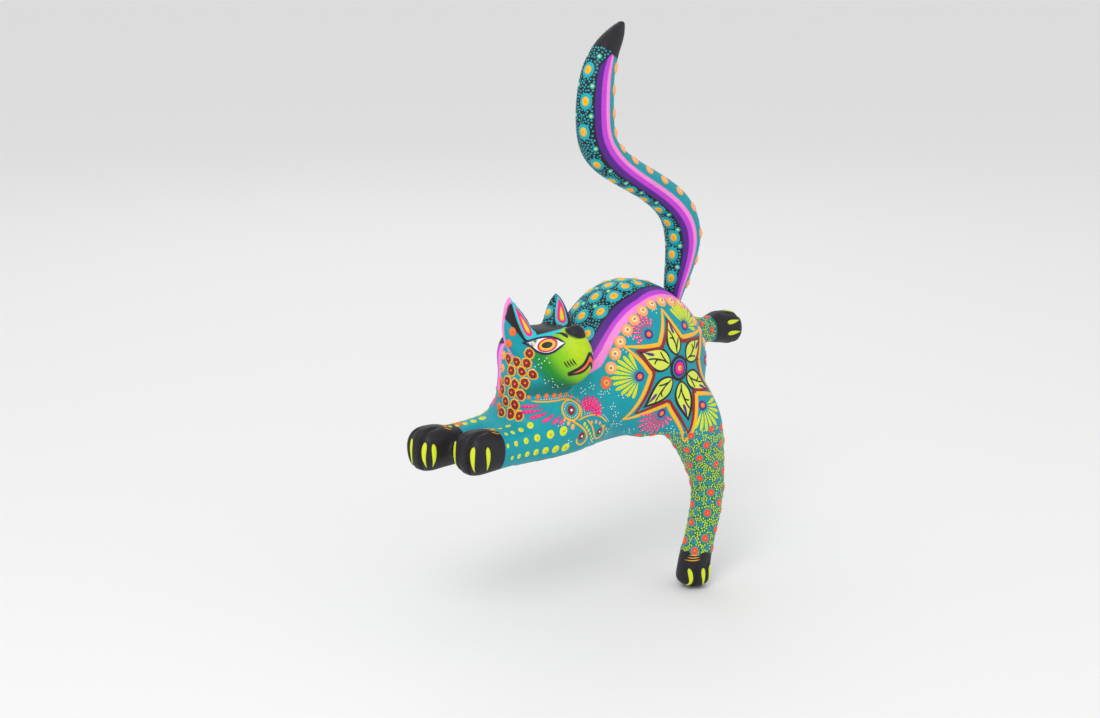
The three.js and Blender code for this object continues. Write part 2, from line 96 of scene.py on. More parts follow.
def paint_material(name, colour=None, rough=0.5, coat=0.06):
    """Satin acrylic over carved wood. With no colour it shows the piece's own painted areas."""
    mat = bpy.data.materials.new(name)
    mat.use_nodes = True
    tree = mat.node_tree
    shader = tree.nodes["Principled BSDF"]
    link = tree.links.new

    def node(kind, values, **sources):
        made = tree.nodes.new(f"ShaderNode{kind}")
        for socket, value in values.items():
            made.inputs[socket].default_value = value
        for socket, source in sources.items():
            link(source, made.inputs[socket])
        return made

    place = node("TexCoord", {}).outputs["Object"]
    along_grain = node("Mapping", {"Scale": (0.22, 1.0, 1.0)}, Vector=place).outputs["Vector"]
    grain = node("TexNoise", {"Scale": 900, "Detail": 4}, Vector=along_grain).outputs["Fac"]
    speck = node("TexNoise", {"Scale": 1500, "Detail": 2}, Vector=place).outputs["Fac"]
    facet = node("TexVoronoi", {"Scale": 95}, Vector=place)
    facet.feature = "SMOOTH_F1"
    fine = node("Bump", {"Strength": 0.32, "Distance": 0.00022}, Height=grain)
    knife = node("Bump", {"Strength": 0.25, "Distance": 0.0006}, Height=facet.outputs["Distance"],
                 Normal=fine.outputs["Normal"])
    link(knife.outputs["Normal"], shader.inputs["Normal"])
    gloss = node("MapRange", {"To Min": rough - 0.08, "To Max": rough + 0.12}, Value=speck)
    link(gloss.outputs["Result"], shader.inputs["Roughness"])
    shader.inputs["Coat Weight"].default_value = coat
    shader.inputs["Coat Roughness"].default_value = 0.3
    shader.inputs["Specular IOR Level"].default_value = 0.32
    if colour is not None:
        shader.inputs["Base Color"].default_value = (*LINEAR[colour], 1)
        return mat
    area = node("Attribute", {})
    area.attribute_name = "paint"
    shade = node("MapRange", {"To Min": 0.84, "To Max": 1.16}, Value=grain)
    brush = node("HueSaturation", {}, Value=shade.outputs["Result"], Color=area.outputs["Color"])
    link(brush.outputs["Color"], shader.inputs["Base Color"])
    return mat


# ---------------------------------------------------------------- skins
def evaluated(obj):
    graph = bpy.context.evaluated_depsgraph_get()
    return bpy.data.meshes.new_from_object(obj.evaluated_get(graph))


def linked(name, data):
    obj = bpy.data.objects.new(name, data)
    bpy.context.scene.collection.objects.link(obj)
    return obj


def places(mesh):
    """The places of a mesh's vertices, in millimetres."""
    co = np.empty(len(mesh.vertices) * 3)
    mesh.vertices.foreach_get("co", co)
    return co.reshape(-1, 3) / MM


def move_to(mesh, co):
    mesh.vertices.foreach_set("co", (co * MM).ravel())
    mesh.update()


def edges_of(mesh):
    e = np.empty(len(mesh.edges) * 2, dtype=int)
    mesh.edges.foreach_get("vertices", e)
    return e.reshape(-1, 2)


def neighbour_mean(values, edges, count):
    a, b = edges.T
    total = np.zeros_like(values)
    for k in range(values.shape[1]):
        total[:, k] = np.bincount(a, values[b, k], count) + np.bincount(b, values[a, k], count)
    degree = np.bincount(a, minlength=count) + np.bincount(b, minlength=count)
    return total / degree[:, None]


def vertex_normals(mesh):
    n = np.empty(len(mesh.vertices) * 3)
    mesh.vertices.foreach_get("normal", n)
    return n.reshape(-1, 3)


def node_object(name):
    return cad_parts[name]


def tree_of(name):
    mesh = node_object(name).data
    co = [v.co / MM for v in mesh.vertices]
    return BVHTree.FromPolygons(co, [tuple(p.vertices) for p in mesh.polygons])


def voxel_skin(names, voxel):
    verts, faces = [], []
    for name in names:
        mesh = node_object(name).data
        start = len(verts)
        verts += [tuple(v.co) for v in mesh.vertices]
        faces += [tuple(i + start for i in p.vertices) for p in mesh.polygons]
    mesh = bpy.data.meshes.new("voxels")
    mesh.from_pydata(verts, [], faces)
    obj = linked("scratch", mesh)
    remesh = obj.modifiers.new("remesh", "REMESH")
    remesh.mode = "VOXEL"
    remesh.voxel_size = voxel * MM
    out = evaluated(obj)
    bpy.data.objects.remove(obj)
    return out


def smoothstep(a, b, x):
    t = np.clip((x - a) / (b - a), 0, 1)
    return t * t * (3 - 2 * t)


def relax(co, edges, rounds, weight):
    for _ in range(rounds):
        co += weight[:, None] * 0.5 * (neighbour_mean(co, edges, len(co)) - co)


def subdivided(mesh, levels):
    obj = linked("scratch", mesh)
    sub = obj.modifiers.new("sub", "SUBSURF")
    sub.levels = sub.render_levels = levels
    out = evaluated(obj)
    bpy.data.objects.remove(obj)
    return out


# Places that the paint and the carving share, in millimetres.
SHELF_FACE_Y = -25.0
SKULL = np.array([-37.4, -3.0, 50.0])
TURN, TILT = math.radians(77), math.radians(7)
LOOK = np.array([math.cos(TURN) * math.cos(TILT), -math.sin(TURN) * math.cos(TILT), math.sin(TILT)])
LEFT = np.cross([0, 0, 1], LOOK)
LEFT /= np.linalg.norm(LEFT)
UP = np.cross(LOOK, LEFT)
NOSE = np.array([26.5, 0.0, 11.5])
TAIL_SEAT = np.array([67.0, 0.0, 62.0])
TAIL_AXIS = np.array([math.sin(math.radians(8)), 0, math.cos(math.radians(8))])
CARVED = ["torso", "head", "left_ear", "right_ear", "left_hind_leg", "right_hind_leg"]
PAW_Y = 10.8
# Side of each forepaw, and how far ahead it reaches.
FOREPAWS = ((-1, -92), (1, -104))
NECK_RADIUS = 17.5
COAT = 0.35
TOP = 120
DOWN = (0, 0, -1)


def to_head(p):
    d = p - SKULL
    return np.stack([d @ LOOK, d @ LEFT, d @ UP], axis=-1)


def from_head(u, v, w):
    return SKULL + u * LOOK + v * LEFT + w * UP


def carve():
    """One skin over every glued piece, with the seams filled as on the real carving."""
    mesh = voxel_skin(CARVED, 1.6)
    co, edges = places(mesh), edges_of(mesh)
    count = len(co)
    trees = [tree_of(name) for name in CARVED]
    near = np.array([[t.find_nearest(Vector(p))[3] for t in trees] for p in co])
    label = near.argmin(axis=1)
    x, y, z = co.T
    head = to_head(co)
    fine = np.zeros(count)
    for which in ("left_ear", "right_ear"):
        fine = np.maximum(fine, 1 - smoothstep(1.5, 5, near[:, CARVED.index(which)]))
    fine = np.maximum(fine, 1 - smoothstep(5, 8, np.linalg.norm(head - NOSE, axis=1)))
    socket = np.linalg.norm(np.cross(co - TAIL_SEAT, TAIL_AXIS), axis=1)
    fine = np.maximum(fine, (1 - smoothstep(5, 7, socket)) * (z > 35) * (z < 72))
    paws = np.maximum(1 - smoothstep(-74, -68, x), 1 - smoothstep(-72, -64, z))
    paws = np.maximum(paws, smoothstep(124, 130, x))
    gentle = 1 - np.maximum(fine, 0.55 * paws)
    normals = vertex_normals(mesh)
    hollow = ((neighbour_mean(co, edges, count) - co) * normals).sum(axis=1)
    crease = (hollow > 0.10).astype(float)[:, None]
    for _ in range(5):
        crease = np.maximum(crease, 0.93 * neighbour_mean(crease, edges, count))
    crease = smoothstep(0.12, 0.6, crease[:, 0])
    crease *= 1 - 0.85 * (1 - smoothstep(-50, -38, x)) * (1 - smoothstep(26, 34, z))
    relax(co, edges, 9, 0.08 + 0.92 * gentle)
    relax(co, edges, 24, crease * gentle)
    relax(co, edges, 4, gentle)
    # The right ear leans outwards and the outstretched paw is plump on top.
    lean = (label == CARVED.index("right_ear")) * np.clip((to_head(co)[:, 2] - 13) / 19, 0, 1)
    co += lean[:, None] * [-1.7, 1.6, 0.8]
    co[:, 2] += 2.6 * (label == CARVED.index("right_hind_leg")) * smoothstep(124, 136, x) * smoothstep(26, 38, z)
    # The belly stays flat where it rests, and the hanging leg stays clear of the face of its perch.
    flat = (co[:, 2] < 1.0) & (x > -60) & (x < 60) & (y > SHELF_FACE_Y)
    co[flat, 2] = np.maximum(co[flat, 2] * 0.3, 0)
    move_to(mesh, co)
    # A coat of filler and paint makes up for what the smoothing took off.
    swell = COAT * (smoothstep(0.5, 3, co[:, 2]) + (z < -2))
    co += vertex_normals(mesh) * swell[:, None]
    move_to(mesh, co)
    faces = [tuple(p.vertices) for p in mesh.polygons]
    for i in range(len(CARVED)):
        mesh.materials.append(None)
    index = np.array([np.bincount(label[list(f)], minlength=6).argmax() for f in faces])
    mesh.polygons.foreach_set("material_index", index.astype(np.int32))
    skin = subdivided(mesh, 2)
    groove(skin)
    return skin


def groove(mesh):
    """Toe grooves cut into the four paws."""
    co, normal = places(mesh), vertex_normals(mesh)
    x, y, z = co.T
    depth = np.zeros(len(co))

    def cut(across, centre, fade):
        for side in (-1, 1):
            depth[:] = np.maximum(depth, 1.3 * np.exp(-((across - centre - side * 3.6) / 0.9) ** 2) * fade)

    for side, front in FOREPAWS:
        near = (abs(y - side * PAW_Y) < 11) & (x < front + 16)
        cut(y, side * PAW_Y, near * smoothstep(front + 15, front + 8, x) * smoothstep(0.5, 4, z))
    low = z < -60
    cut(x - 0.05 * (z + 80), 50.5, low * smoothstep(-70, -77, z) * (normal[:, 1] < 0.5))
    far = x > 125
    cut(y, 27.0, far * smoothstep(134, 141, x))
    move_to(mesh, co - normal * depth[:, None])


# ---------------------------------------------------------------- broad painted areas
def blend_to(colour, mask, name):
    rgb = LINEAR[name] if isinstance(name, str) else name
    colour += mask[:, None] * (rgb - colour)


def between(value, low, high, soft=0.3):
    return smoothstep(low - soft, low + soft, value) * (1 - smoothstep(high - soft, high + soft, value))


def above(value, edge, soft=0.3):
    return smoothstep(edge - soft, edge + soft, value)


def below(value, edge, soft=0.3):
    return 1 - above(value, edge, soft)


# Half widths of the spine's black band and of the stripes beside it, from the neck to the tail.
STRIPE_X = [-20, -8, 8, 22, 36, 48, 60]
BLACK_EDGE = [11.5, 12.5, 13.2, 14, 11.5, 9, 6.5]
PURPLE_EDGE = [14, 16.2, 17.2, 17.6, 15, 12, 9]
MAGENTA_EDGE = [16, 18.4, 19.5, 19.9, 18.6, 17.4, 14.5]
PINK_EDGE = [18, 21, 22.8, 22.6, 21.8, 21.2, 20.5]
# Rim down the back of each haunch, likewise.
RIM_X = [50, 60, 67, 80]
RIM_OUTER = [21.8, 23, 25.5, 24]
RIM_MIDDLE = [19.4, 20.4, 22.0, 20.0]
RIM_INNER = [18.0, 19.0, 20.5, 18.5]


def stripe_edges(x):
    rows = (BLACK_EDGE, PURPLE_EDGE, MAGENTA_EDGE, PINK_EDGE)
    return [np.interp(x, STRIPE_X, row) for row in rows]


def cells(size):
    """Places for the cells of the neck, around it and up it, spaced like a giraffe's coat."""
    seeds = []
    row = 0
    while row * size * 0.95 < 46:
        for k in range(-8, 9):
            shift = 0.5 * size * (row % 2)
            around = k * size + shift + RNG.uniform(-0.6, 0.6)
            seeds.append((around, 18.5 + row * size * 0.95 + RNG.uniform(-0.6, 0.6)))
        row += 1
    return seeds


class Skin:
    """What the broad areas are laid out by: places, directions and the glued part under each vertex."""

    def __init__(self, co, normal, label):
        self.x, self.y, self.z = co.T
        self.u, self.v, self.w = to_head(co).T
        self.co, self.normal = co, normal
        # the left hind leg hangs, the right one is stretched out
        self.torso, self.head, self.left_ear, self.right_ear, self.hanging, self.stretched = [
            label == index for index in range(len(CARVED))]
        # degrees and millimetres around the neck
        self.turn = np.degrees(np.arctan2(self.y - SKULL[1], self.x - SKULL[0])) % 360
        self.around = np.radians(self.turn - 198) * NECK_RADIUS
        self.from_neck = np.hypot(self.x - SKULL[0], self.y - SKULL[1])


def paint_back(colour, k):
    """The speckled band along the spine, the stripes beside it and the rim of the haunches."""
    q = abs(k.y)
    e1, e2, e3, e4 = stripe_edges(k.x)
    torso = k.torso.astype(float)
    top = torso * smoothstep(34, 38, k.z - 0.6 * np.maximum(k.x - 56, 0)) * above(k.x, -22)
    blend_to(colour, top * below(q, e4), "pink")
    blend_to(colour, top * below(q, e3), "magenta")
    blend_to(colour, top * below(q, e2), "purple")
    band = top * below(q, e1) * below(k.x, 71)
    blend_to(colour, band, "black")
    # behind the tail the teal returns, between stripes that run down the back of the haunches
    rear = torso * above(k.x, 71.5) * above(k.normal[:, 0], 0.2, 0.1)
    blend_to(colour, rear * below(q, 13), "teal")
    outer, inner, middle = [np.interp(k.x, RIM_X, row) for row in (RIM_OUTER, RIM_INNER, RIM_MIDDLE)]
    rim = torso * above(k.x, 50, 2) * smoothstep(2, 8, k.z) * below(q, outer)
    rim *= above(q, inner)
    blend_to(colour, rim, "pink")
    blend_to(colour, rim * below(q, middle), "magenta")
    return band * below(q, e1 - 1.0)


def paint_nape(colour, k):
    """The black nape and the three stripes that close it towards the right."""
    neck = (k.head | (k.torso & (k.x < -22) & (k.z > 34))).astype(float)
    nape = neck * between(k.turn, 12, 128, 1.0) * below(k.u, 9, 0.8)
    for end, name in ((160, "pink"), (148, "magenta"), (139, "purple")):
        blend_to(colour, neck * between(k.turn, 128, end, 1.0) * below(k.w, 14), name)
    blend_to(colour, nape, "black")
    return nape


def paint_head(colour, k):
    """A face that runs from teal through green to lime, with painted shade under the jaw, the black cap and the
    nose.
    """
    cheek = k.u + 0.45 * k.w
    skull = k.head * above(k.z, 33)
    face = skull * (k.u > 2)
    blend_to(colour, face * smoothstep(8, 13, cheek), linear((0, 132, 92)))
    blend_to(colour, face * smoothstep(11, 18, cheek), "green")
    blend_to(colour, face * smoothstep(17, 25, cheek), linear((126, 196, 14)))
    blend_to(colour, face * smoothstep(24, 33, cheek), linear((178, 212, 20)))
    # painted shade: a darker teal under the jaw, where the chin shades the neck
    under = smoothstep(-7, -14, k.w) * smoothstep(30, 20, k.u)
    blend_to(colour, face * 0.75 * under, linear((0, 96, 84)))
    line = 10.2 + 0.175 * k.u
    blend_to(colour, skull * above(k.w, line) * below(k.u, 20.5), "black")
    blend_to(colour, skull * between(k.w, line - 0.9, line + 0.7) * between(k.u, 2, 21), "cyan")
    blend_to(colour, below(np.linalg.norm(to_head(k.co) - NOSE, axis=1), 5.5), "black")


def paint_ears(colour, k):
    """Black ears; the right one has a teal foot and a pink outer rim."""
    blend_to(colour, (k.left_ear | k.right_ear).astype(float), "black")
    across = k.v * math.cos(0.5) + k.u * math.sin(0.5)
    depth = k.u * math.cos(0.5) - k.v * math.sin(0.5)
    rim_at = np.interp(k.w, [8, 12, 16, 20, 24, 28, 33], [-17.5, -18.8, -19.4, -19.2, -18.4, -16.2, -13])
    foot = below(across, -17.6 + 0.6 * (22.5 - k.w)) * below(k.w, 24)
    blend_to(colour, k.right_ear * foot, "teal")
    rim = below(across, rim_at + 3.0) * below(depth, 10.2 - 0.05 * (k.w - 13))
    blend_to(colour, k.right_ear * rim, "pink")
    ahead = k.normal @ LOOK
    return k.left_ear * (ahead < 0.45) + k.right_ear * (ahead < -0.2) * (across > rim_at + 3.4)


def cell_patch(k):
    """Where the cells lie: the front of the neck, a little ragged at its left edge."""
    ragged = 1.2 * np.sin(k.z * 0.7) + 0.8 * np.sin(k.z * 1.9)
    first = -8.5 + 0.3 * (k.z - 40) * (k.z > 40) + ragged
    patch = between(k.around, first, 12, 0.3) * between(k.z, 20, 61.5)
    patch *= k.head | k.torso
    patch *= k.x < np.interp(k.z, [20, 30, 45, 60], [-52.5, -52.5, -50, -51])
    patch *= (k.from_neck > 12) * (k.from_neck < 26)
    return patch


def paint_legs(colour, k):
    """Hind legs that turn green towards black paws, and black forepaws."""
    leg = k.hanging | (k.torso & (k.z < 8) & (k.y < SHELF_FACE_Y - 2) & (k.x > 34))
    blend_to(colour, leg * 0.95 * smoothstep(8, -8, k.z), linear((10, 116, 82)))
    leg_zone = leg * smoothstep(8, -8, k.z) * above(k.z, -67)
    blend_to(colour, k.stretched * 0.8 * smoothstep(88, 112, k.x), linear((16, 118, 84)))
    far_zone = k.stretched * smoothstep(92, 108, k.x) * below(k.x, 126)
    blend_to(colour, below(k.x, -73 + 0.12 * k.z) * (k.y < 0) * (k.z < 24), "black")
    blend_to(colour, below(k.x, -80 + 0.12 * k.z) * (k.y >= 0) * (k.z < 24), "black")
    blend_to(colour, below(k.z, -67.5 + 0.8 * np.sin(k.x)), "black")
    blend_to(colour, k.stretched * above(k.x, 127.5), "black")
    return leg_zone, far_zone


def paint_carving(co, normal, label):
    """Colour of every vertex of the carving, and the zones that the raised paint fills."""
    k = Skin(co, normal, label)
    colour = np.tile(LINEAR["teal"], (len(co), 1))
    blend_to(colour, 0.18 * smoothstep(10, 40, k.z) * (k.x < 0), linear((0, 196, 206)))
    zone = {"around": k.around}
    zone["band"] = paint_back(colour, k)
    zone["nape"] = paint_nape(colour, k)
    paint_head(colour, k)
    zone["ear_back"] = paint_ears(colour, k)
    zone["cells"] = cell_patch(k)
    seeds = cells(5.75)
    zone["leg"], zone["far_leg"] = paint_legs(colour, k)
    # the underside that rests on the perch
    resting = (k.y > SHELF_FACE_Y) * (k.x > -62)
    blend_to(colour, below(k.z, 0.9, 0.4) * above(-normal[:, 2], 0.3, 0.2) * resting, "black")
    # bare wood in the socket of the tail
    bore = np.linalg.norm(np.cross(co - TAIL_SEAT, TAIL_AXIS), axis=1)
    blend_to(colour, below(bore, 4.4, 0.3) * (k.z > 38) * (k.z < 75) * k.torso, "wood")
    return colour, zone, seeds


def centreline(co):
    """Middle of the tail from its foot to its tip, slice by slice."""
    lows = np.arange(64, 211, 3.0)
    rows = []
    for low in lows:
        part = co[abs(co[:, 2] - low) < 1.6]
        if len(part) > 6:
            rows.append(((part[:, 0].min() + part[:, 0].max()) / 2, 0.0, low))
    line = np.array(rows)
    for _ in range(2):
        line[1:-1] = (line[:-2] + 2 * line[1:-1] + line[2:]) / 4
    return line


def tail_coords(co, line):
    """Distance along the tail and angle around it; 0 degrees faces forwards, 90 the left side."""
    seg = np.linalg.norm(np.diff(line, axis=0), axis=1)
    run = np.concatenate([[0], np.cumsum(seg)])
    tangent = np.gradient(line, axis=0)
    tangent /= np.linalg.norm(tangent, axis=1)[:, None]
    d = np.linalg.norm(co[:, None] - line[None], axis=2)
    k = d.argmin(axis=1)
    rel = co - line[k]
    along = run[k] + (rel * tangent[k]).sum(axis=1)
    front = np.stack([-tangent[k][:, 2], np.zeros(len(k)), tangent[k][:, 0]], axis=1)
    angle = np.degrees(np.arctan2(-rel[:, 1], (rel * front).sum(axis=1)))
    return along, angle, run[-1]


def paint_tail(co, line):
    along, angle, length = tail_coords(co, line)
    colour = np.tile(LINEAR["teal"], (len(co), 1))
    a = abs(angle)
    t = along / length
    tip = smoothstep(0.86, 0.95, t)
    widen = smoothstep(0.0, 0.12, t)
    black = 40 + 6 * widen + 50 * tip
    purple = np.maximum(black, 62 + 4 * widen + 8 * tip)
    magenta = np.maximum(black, 80 + 6 * widen)
    pink = np.maximum(black, 96 + 6 * widen - 8 * tip)
    blend_to(colour, below(a, pink, 2.0), "pink")
    blend_to(colour, below(a, magenta, 2.0), "magenta")
    blend_to(colour, below(a, purple, 2.0), "purple")
    blend_to(colour, below(a, black, 2.0), "black")
    blend_to(colour, above(along, length - 15, 0.4), "black")
    peg = np.linalg.norm(np.cross(co - TAIL_SEAT, TAIL_AXIS), axis=1)
    foot = (co - TAIL_SEAT) @ TAIL_AXIS
    wood = below(peg, 4.25, 0.15) * (foot < 3.5)
    blend_to(colour, wood, "wood")
    zone = (a < black - 8) * (along < length - 14) * (wood == 0)
    return colour, zone.astype(float), along, angle, length


# ---------------------------------------------------------------- raised paint
class Surface:
    """A finished skin that strokes and dots of paint are laid on."""

    def __init__(self, mesh):
        self.co = places(mesh)
        self.normal = vertex_normals(mesh)
        self.tree = BVHTree.FromPolygons(self.co.tolist(), [tuple(p.vertices) for p in mesh.polygons])

    def snap(self, p):
        loc, nor, _, _ = self.tree.find_nearest(Vector(p))
        return np.array(loc), np.array(nor)

    def cast(self, origin, direction):
        loc, nor, _, _ = self.tree.ray_cast(Vector(origin), Vector(direction))
        if loc is None:
            return None
        return np.array(loc), np.array(nor)


class Paint:
    """Strokes and dots gathered by colour, one object for each."""

    def __init__(self, surface, body, slot):
        self.surface, self.body, self.slot = surface, body, slot
        self.parts = {}

    def part(self, colour):
        return self.parts.setdefault(colour, ([], []))

    def stroke(self, points, half, colour, lift=0.0, thick=0.16, columns=7):
        """A brush stroke along points on the surface; half gives its half width at a share of its length."""
        verts, faces = self.part(colour)
        pts = np.array(points)
        if len(pts) < 3:
            return
        run = np.concatenate([[0], np.cumsum(np.linalg.norm(np.diff(pts, axis=0), axis=1))])
        total = run[-1]
        tangent = np.gradient(pts, axis=0)
        spread = np.sin(np.linspace(-math.pi / 2, math.pi / 2, columns))
        start = len(verts)
        for i, p in enumerate(pts):
            loc, nor = self.surface.snap(p)
            side = np.cross(nor, tangent[i])
            size = np.linalg.norm(side)
            side = side / size if size > 1e-9 else side
            width = max(half(run[i] / total), 0.02)
            for s in spread:
                q, n = self.surface.snap(loc + side * s * width)
                rise = lift + thick * (1 - s ** 4) ** 0.5 if abs(s) < 0.999 else lift * 0.6 - 0.04
                verts.append(tuple(q + n * rise))
        for i in range(len(pts) - 1):
            for k in range(columns - 1):
                a = start + i * columns + k
                faces.append((a, a + 1, a + columns + 1, a + columns))

    def dot(self, point, radius, colour, rise=0.3, lift=0.0, stretch=1.0, along=None, sides=14, flat=False,
            shape=None):
        """A domed dot of paint; stretch lengthens it along a direction."""
        verts, faces = self.part(colour)
        loc, nor = self.surface.snap(point)
        ref = np.array(along if along is not None else (0.3, 0.1, 1.0), dtype=float)
        e1 = ref - nor * (ref @ nor)
        e1 /= max(np.linalg.norm(e1), 1e-9)
        e2 = np.cross(nor, e1)
        big = radius > 1.4
        rings = ((1.0, 0.0), (0.9, 0.45), (0.64, 0.8), (0.3, 0.97)) if big else ((1.0, 0.0), (0.72, 0.7))
        if flat:
            big, rings = True, ((1.0, 0.0), (0.95, 0.9), (0.66, 1.0), (0.33, 1.0))
        start = len(verts)
        for share, height in rings:
            for k in range(sides):
                angle = 2 * math.pi * k / sides
                reach = radius * share * (shape[k] if shape else 1)
                q = loc + e1 * math.cos(angle) * reach * stretch + e2 * math.sin(angle) * reach
                n = nor
                if big:
                    q, n = self.surface.snap(q)
                low = lift * 0.6 - (0.05 if big else 0.02 + radius * radius * stretch * 0.04)
                up = low if height == 0 else lift + rise * height
                verts.append(tuple(q + n * up))
        verts.append(tuple(loc + nor * (lift + rise)))
        for r in range(len(rings) - 1):
            for k in range(sides):
                a = start + r * sides + k
                b = start + r * sides + (k + 1) % sides
                faces.append((a, b, b + sides, a + sides))
        last = start + (len(rings) - 1) * sides
        for k in range(sides):
            faces.append((last + k, last + (k + 1) % sides, start + len(rings) * sides))

    def make(self, prefix):
        for colour, (verts, faces) in self.parts.items():
            if not faces:
                continue
            mesh = bpy.data.meshes.new(f"{prefix}_{colour}")
            mesh.from_pydata([(a * MM, b * MM, c * MM) for a, b, c in verts], [], faces)
            mesh.shade_smooth()
            mesh.materials.append(LAYERS[colour])
            obj = linked(f"{prefix}_{colour}", mesh)
            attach(obj, self.body)


def curve(points, step=0.55):
    """Points along a smooth curve through the given ones."""
    pts = np.array(points, dtype=float)
    ends = np.vstack([2 * pts[0] - pts[1], pts, 2 * pts[-1] - pts[-2]])
    out = []
    for i in range(1, len(ends) - 2):
        p0, p1, p2, p3 = ends[i - 1:i + 3]
        n = max(1, round(np.linalg.norm(p2 - p1) / step))
        for k in range(n):
            t = k / n
            out.append(0.5 * (2 * p1 + (p2 - p0) * t + (2 * p0 - 5 * p1 + 4 * p2 - p3) * t * t
                              + (3 * p1 - p0 - 3 * p2 + p3) * t ** 3))
    out.append(pts[-1])
    return out


def straight(points, step=0.55):
    out = []
    for a, b in zip(points[:-1], points[1:]):
        a, b = np.array(a, dtype=float), np.array(b, dtype=float)
        n = max(2, int(np.linalg.norm(b - a) / step))
        out += [a + (b - a) * k / n for k in range(n)]
    out.append(np.array(points[-1], dtype=float))
    return out


def tapered(width, ends=0.12):
    return lambda t: width * min(1, t / ends + 0.15, (1 - t) / ends + 0.15)


def teardrop(width, peak=0.7):
    """Thin at the start, round at the end."""
    return lambda t: width * (math.sin(math.pi / 2 * t / peak) if t < peak
                              else math.sqrt(max(0, 1 - ((t - peak) / (1 - peak)) ** 2)))


def leaf_width(width, peak=0.36):
    return lambda t: width * (math.sin(math.pi / 2 * t / peak) ** 0.62 if t < peak
                              else math.cos(math.pi / 2 * (t - peak) / (1 - peak)) ** 1.1)


def scatter(points, spacing, limit, avoid=()):
    """Points spread at random, none nearer to another than the spacing."""
    order = list(range(len(points)))
    RNG.shuffle(order)
    taken, grid = [], {}
    for i in order:
        p = points[i]
        key = tuple((p // spacing).astype(int))
        crowded = False
        for dx in (-1, 0, 1):
            for dy in (-1, 0, 1):
                for dz in (-1, 0, 1):
                    for j in grid.get((key[0] + dx, key[1] + dy, key[2] + dz), ()):
                        if ((points[j] - p) ** 2).sum() < spacing * spacing:
                            crowded = True
        if crowded or any(((p - c) ** 2).sum() < r * r for c, r in avoid):
            continue
        grid.setdefault(key, []).append(i)
        taken.append(i)
        if len(taken) >= limit:
            break
    return taken


class Layout:
    """Marks laid out on a plane and pressed onto the surface along one direction."""

    def __init__(self, surface, origin, direction):
        self.surface, self.origin, self.direction = surface, origin, direction

    def at(self, p):
        hit = self.surface.cast(self.origin(p), self.direction)
        return None if hit is None else hit[0]

    def path(self, points):
        hits = [self.at(p) for p in points]
        return [h for h in hits if h is not None]


def flank_of(surface, sign):
    """One flank, in x and z."""
    return Layout(surface, lambda p: (p[0], sign * 80, p[1]), (0, -sign, 0))


def rear_of(surface):
    """The back of the rump, in y and z."""
    return Layout(surface, lambda p: (130, p[0], p[1]), (-1, 0, 0))


def top_of(surface):
    """Seen from above, in x and y."""
    return Layout(surface, lambda p: (p[0], p[1], TOP), DOWN)


def face_of(surface, sign):
    """One side of the head, ahead of and above its middle."""
    return Layout(surface, lambda p: from_head(p[0], sign * 19, p[1]), -sign * LEFT)


# ---------------------------------------------------------------- motifs
STAR = (34.5, 37.0)
# angle and reach of each ray; reach and half width of the leaf in it
STAR_TIPS = ((95, 30, 26, 5.6), (28, 31, 25, 6.2), (-37, 30, 25, 5.9), (-86, 40, 28, 5.4), (-143, 39, 29, 5.9),
             (154, 34, 27.5, 6.5))
STAR_NOTCHES = ((70, 15.8), (3, 18), (-58, 17), (-115, 19.5), (180, 19.2), (130, 18))


# discs at its middle: radius, colour, rise, lift and number of sides
STAR_DISCS = ((6.9, "black", 0.12, 0.0, 44), (5.1, "teal", 0.07, 0.12, 40), (4.7, "purple", 0.08, 0.18, 36),
              (3.2, "hot_pink", 0.1, 0.26, 28))
# between the rays: angle and reach of the eye, aim and spread, number of petals, first and last length, colours
FANS = ((130, 25.5, 130, 165, 9, (9.6, 9.6), "hot_pink", "white"),
        (63, 22, 50, 160, 11, (12.0, 12.5), "lime", "orange"),
        (-4, 27.5, -8, 110, 5, (6.0, 6.0), "hot_pink", "white"),
        (-62, 23.5, -58, 140, 9, (15.5, 12), "lime", "orange"),
        (-117, 25, -112, 165, 10, (15, 9), "hot_pink", "white"),
        (181, 25.5, 178, 160, 11, (14, 13), "lime", "orange"))


def polar(centre, angle, reach, scale=1.0):
    a = math.radians(angle)
    return (centre[0] + math.cos(a) * reach * scale, centre[1] + math.sin(a) * reach * scale)


BEAD_STEP = 7.3


def pearl(paint, p, radius, colour, stretch=1.0, along=None):
    """A thick bead of paint, with a lighter raised disc on its top as a painted highlight and a bronze dot at its
    middle.
    """
    paint.dot(p, radius, colour, rise=0.75, lift=0.12, stretch=stretch, along=along, sides=24)
    if radius > 2:
        # painted highlight: a lighter disc on top of a big bead, cream on peach beads and peach on orange ones
        paint.dot(p, radius * 0.55, "highlight_cream" if colour == "peach" else "peach", rise=0.22, lift=0.74, sides=16)
    paint.dot(p, radius * 0.3, "bronze", rise=0.28, lift=0.86, sides=12)


def fan(paint, flank, at, aim, spread, count, reach, colour, dots, scale=1.0):
    """Petals opening from a small eye of paint."""
    for k in range(count):
        share = (k + 0.5) / count
        angle = aim + spread * (share - 0.5)
        far = (reach[0] + (reach[1] - reach[0]) * share) * (1 - 0.12 * abs(2 * share - 1))
        far *= RNG.uniform(0.95, 1.05)
        a, b = polar(at, angle, 3.1, scale), polar(at, angle + 2, far, scale)
        line = flank.path(straight([a, b]))
        if len(line) < 4:
            continue
        half = 0.8 if colour == "hot_pink" else 0.95
        paint.stroke(line, teardrop(half * scale, 0.8), colour, thick=0.3)
        for share in (0.45, 0.62, 0.78, 0.9):
            i = int(share * (len(line) - 1))
            paint.dot(line[i], 0.24 + 0.06 * share, dots, rise=0.12, lift=0.3, sides=6)
    p = flank.at(at)
    if p is not None:
        paint.dot(p, 2.6 * scale, "purple", rise=0.2, sides=24, flat=True)
        paint.dot(p, 1.5 * scale, "orange", rise=0.3, lift=0.2, sides=16)
        paint.dot(p, 0.5 * scale, "gold", rise=0.15, lift=0.48, sides=8)


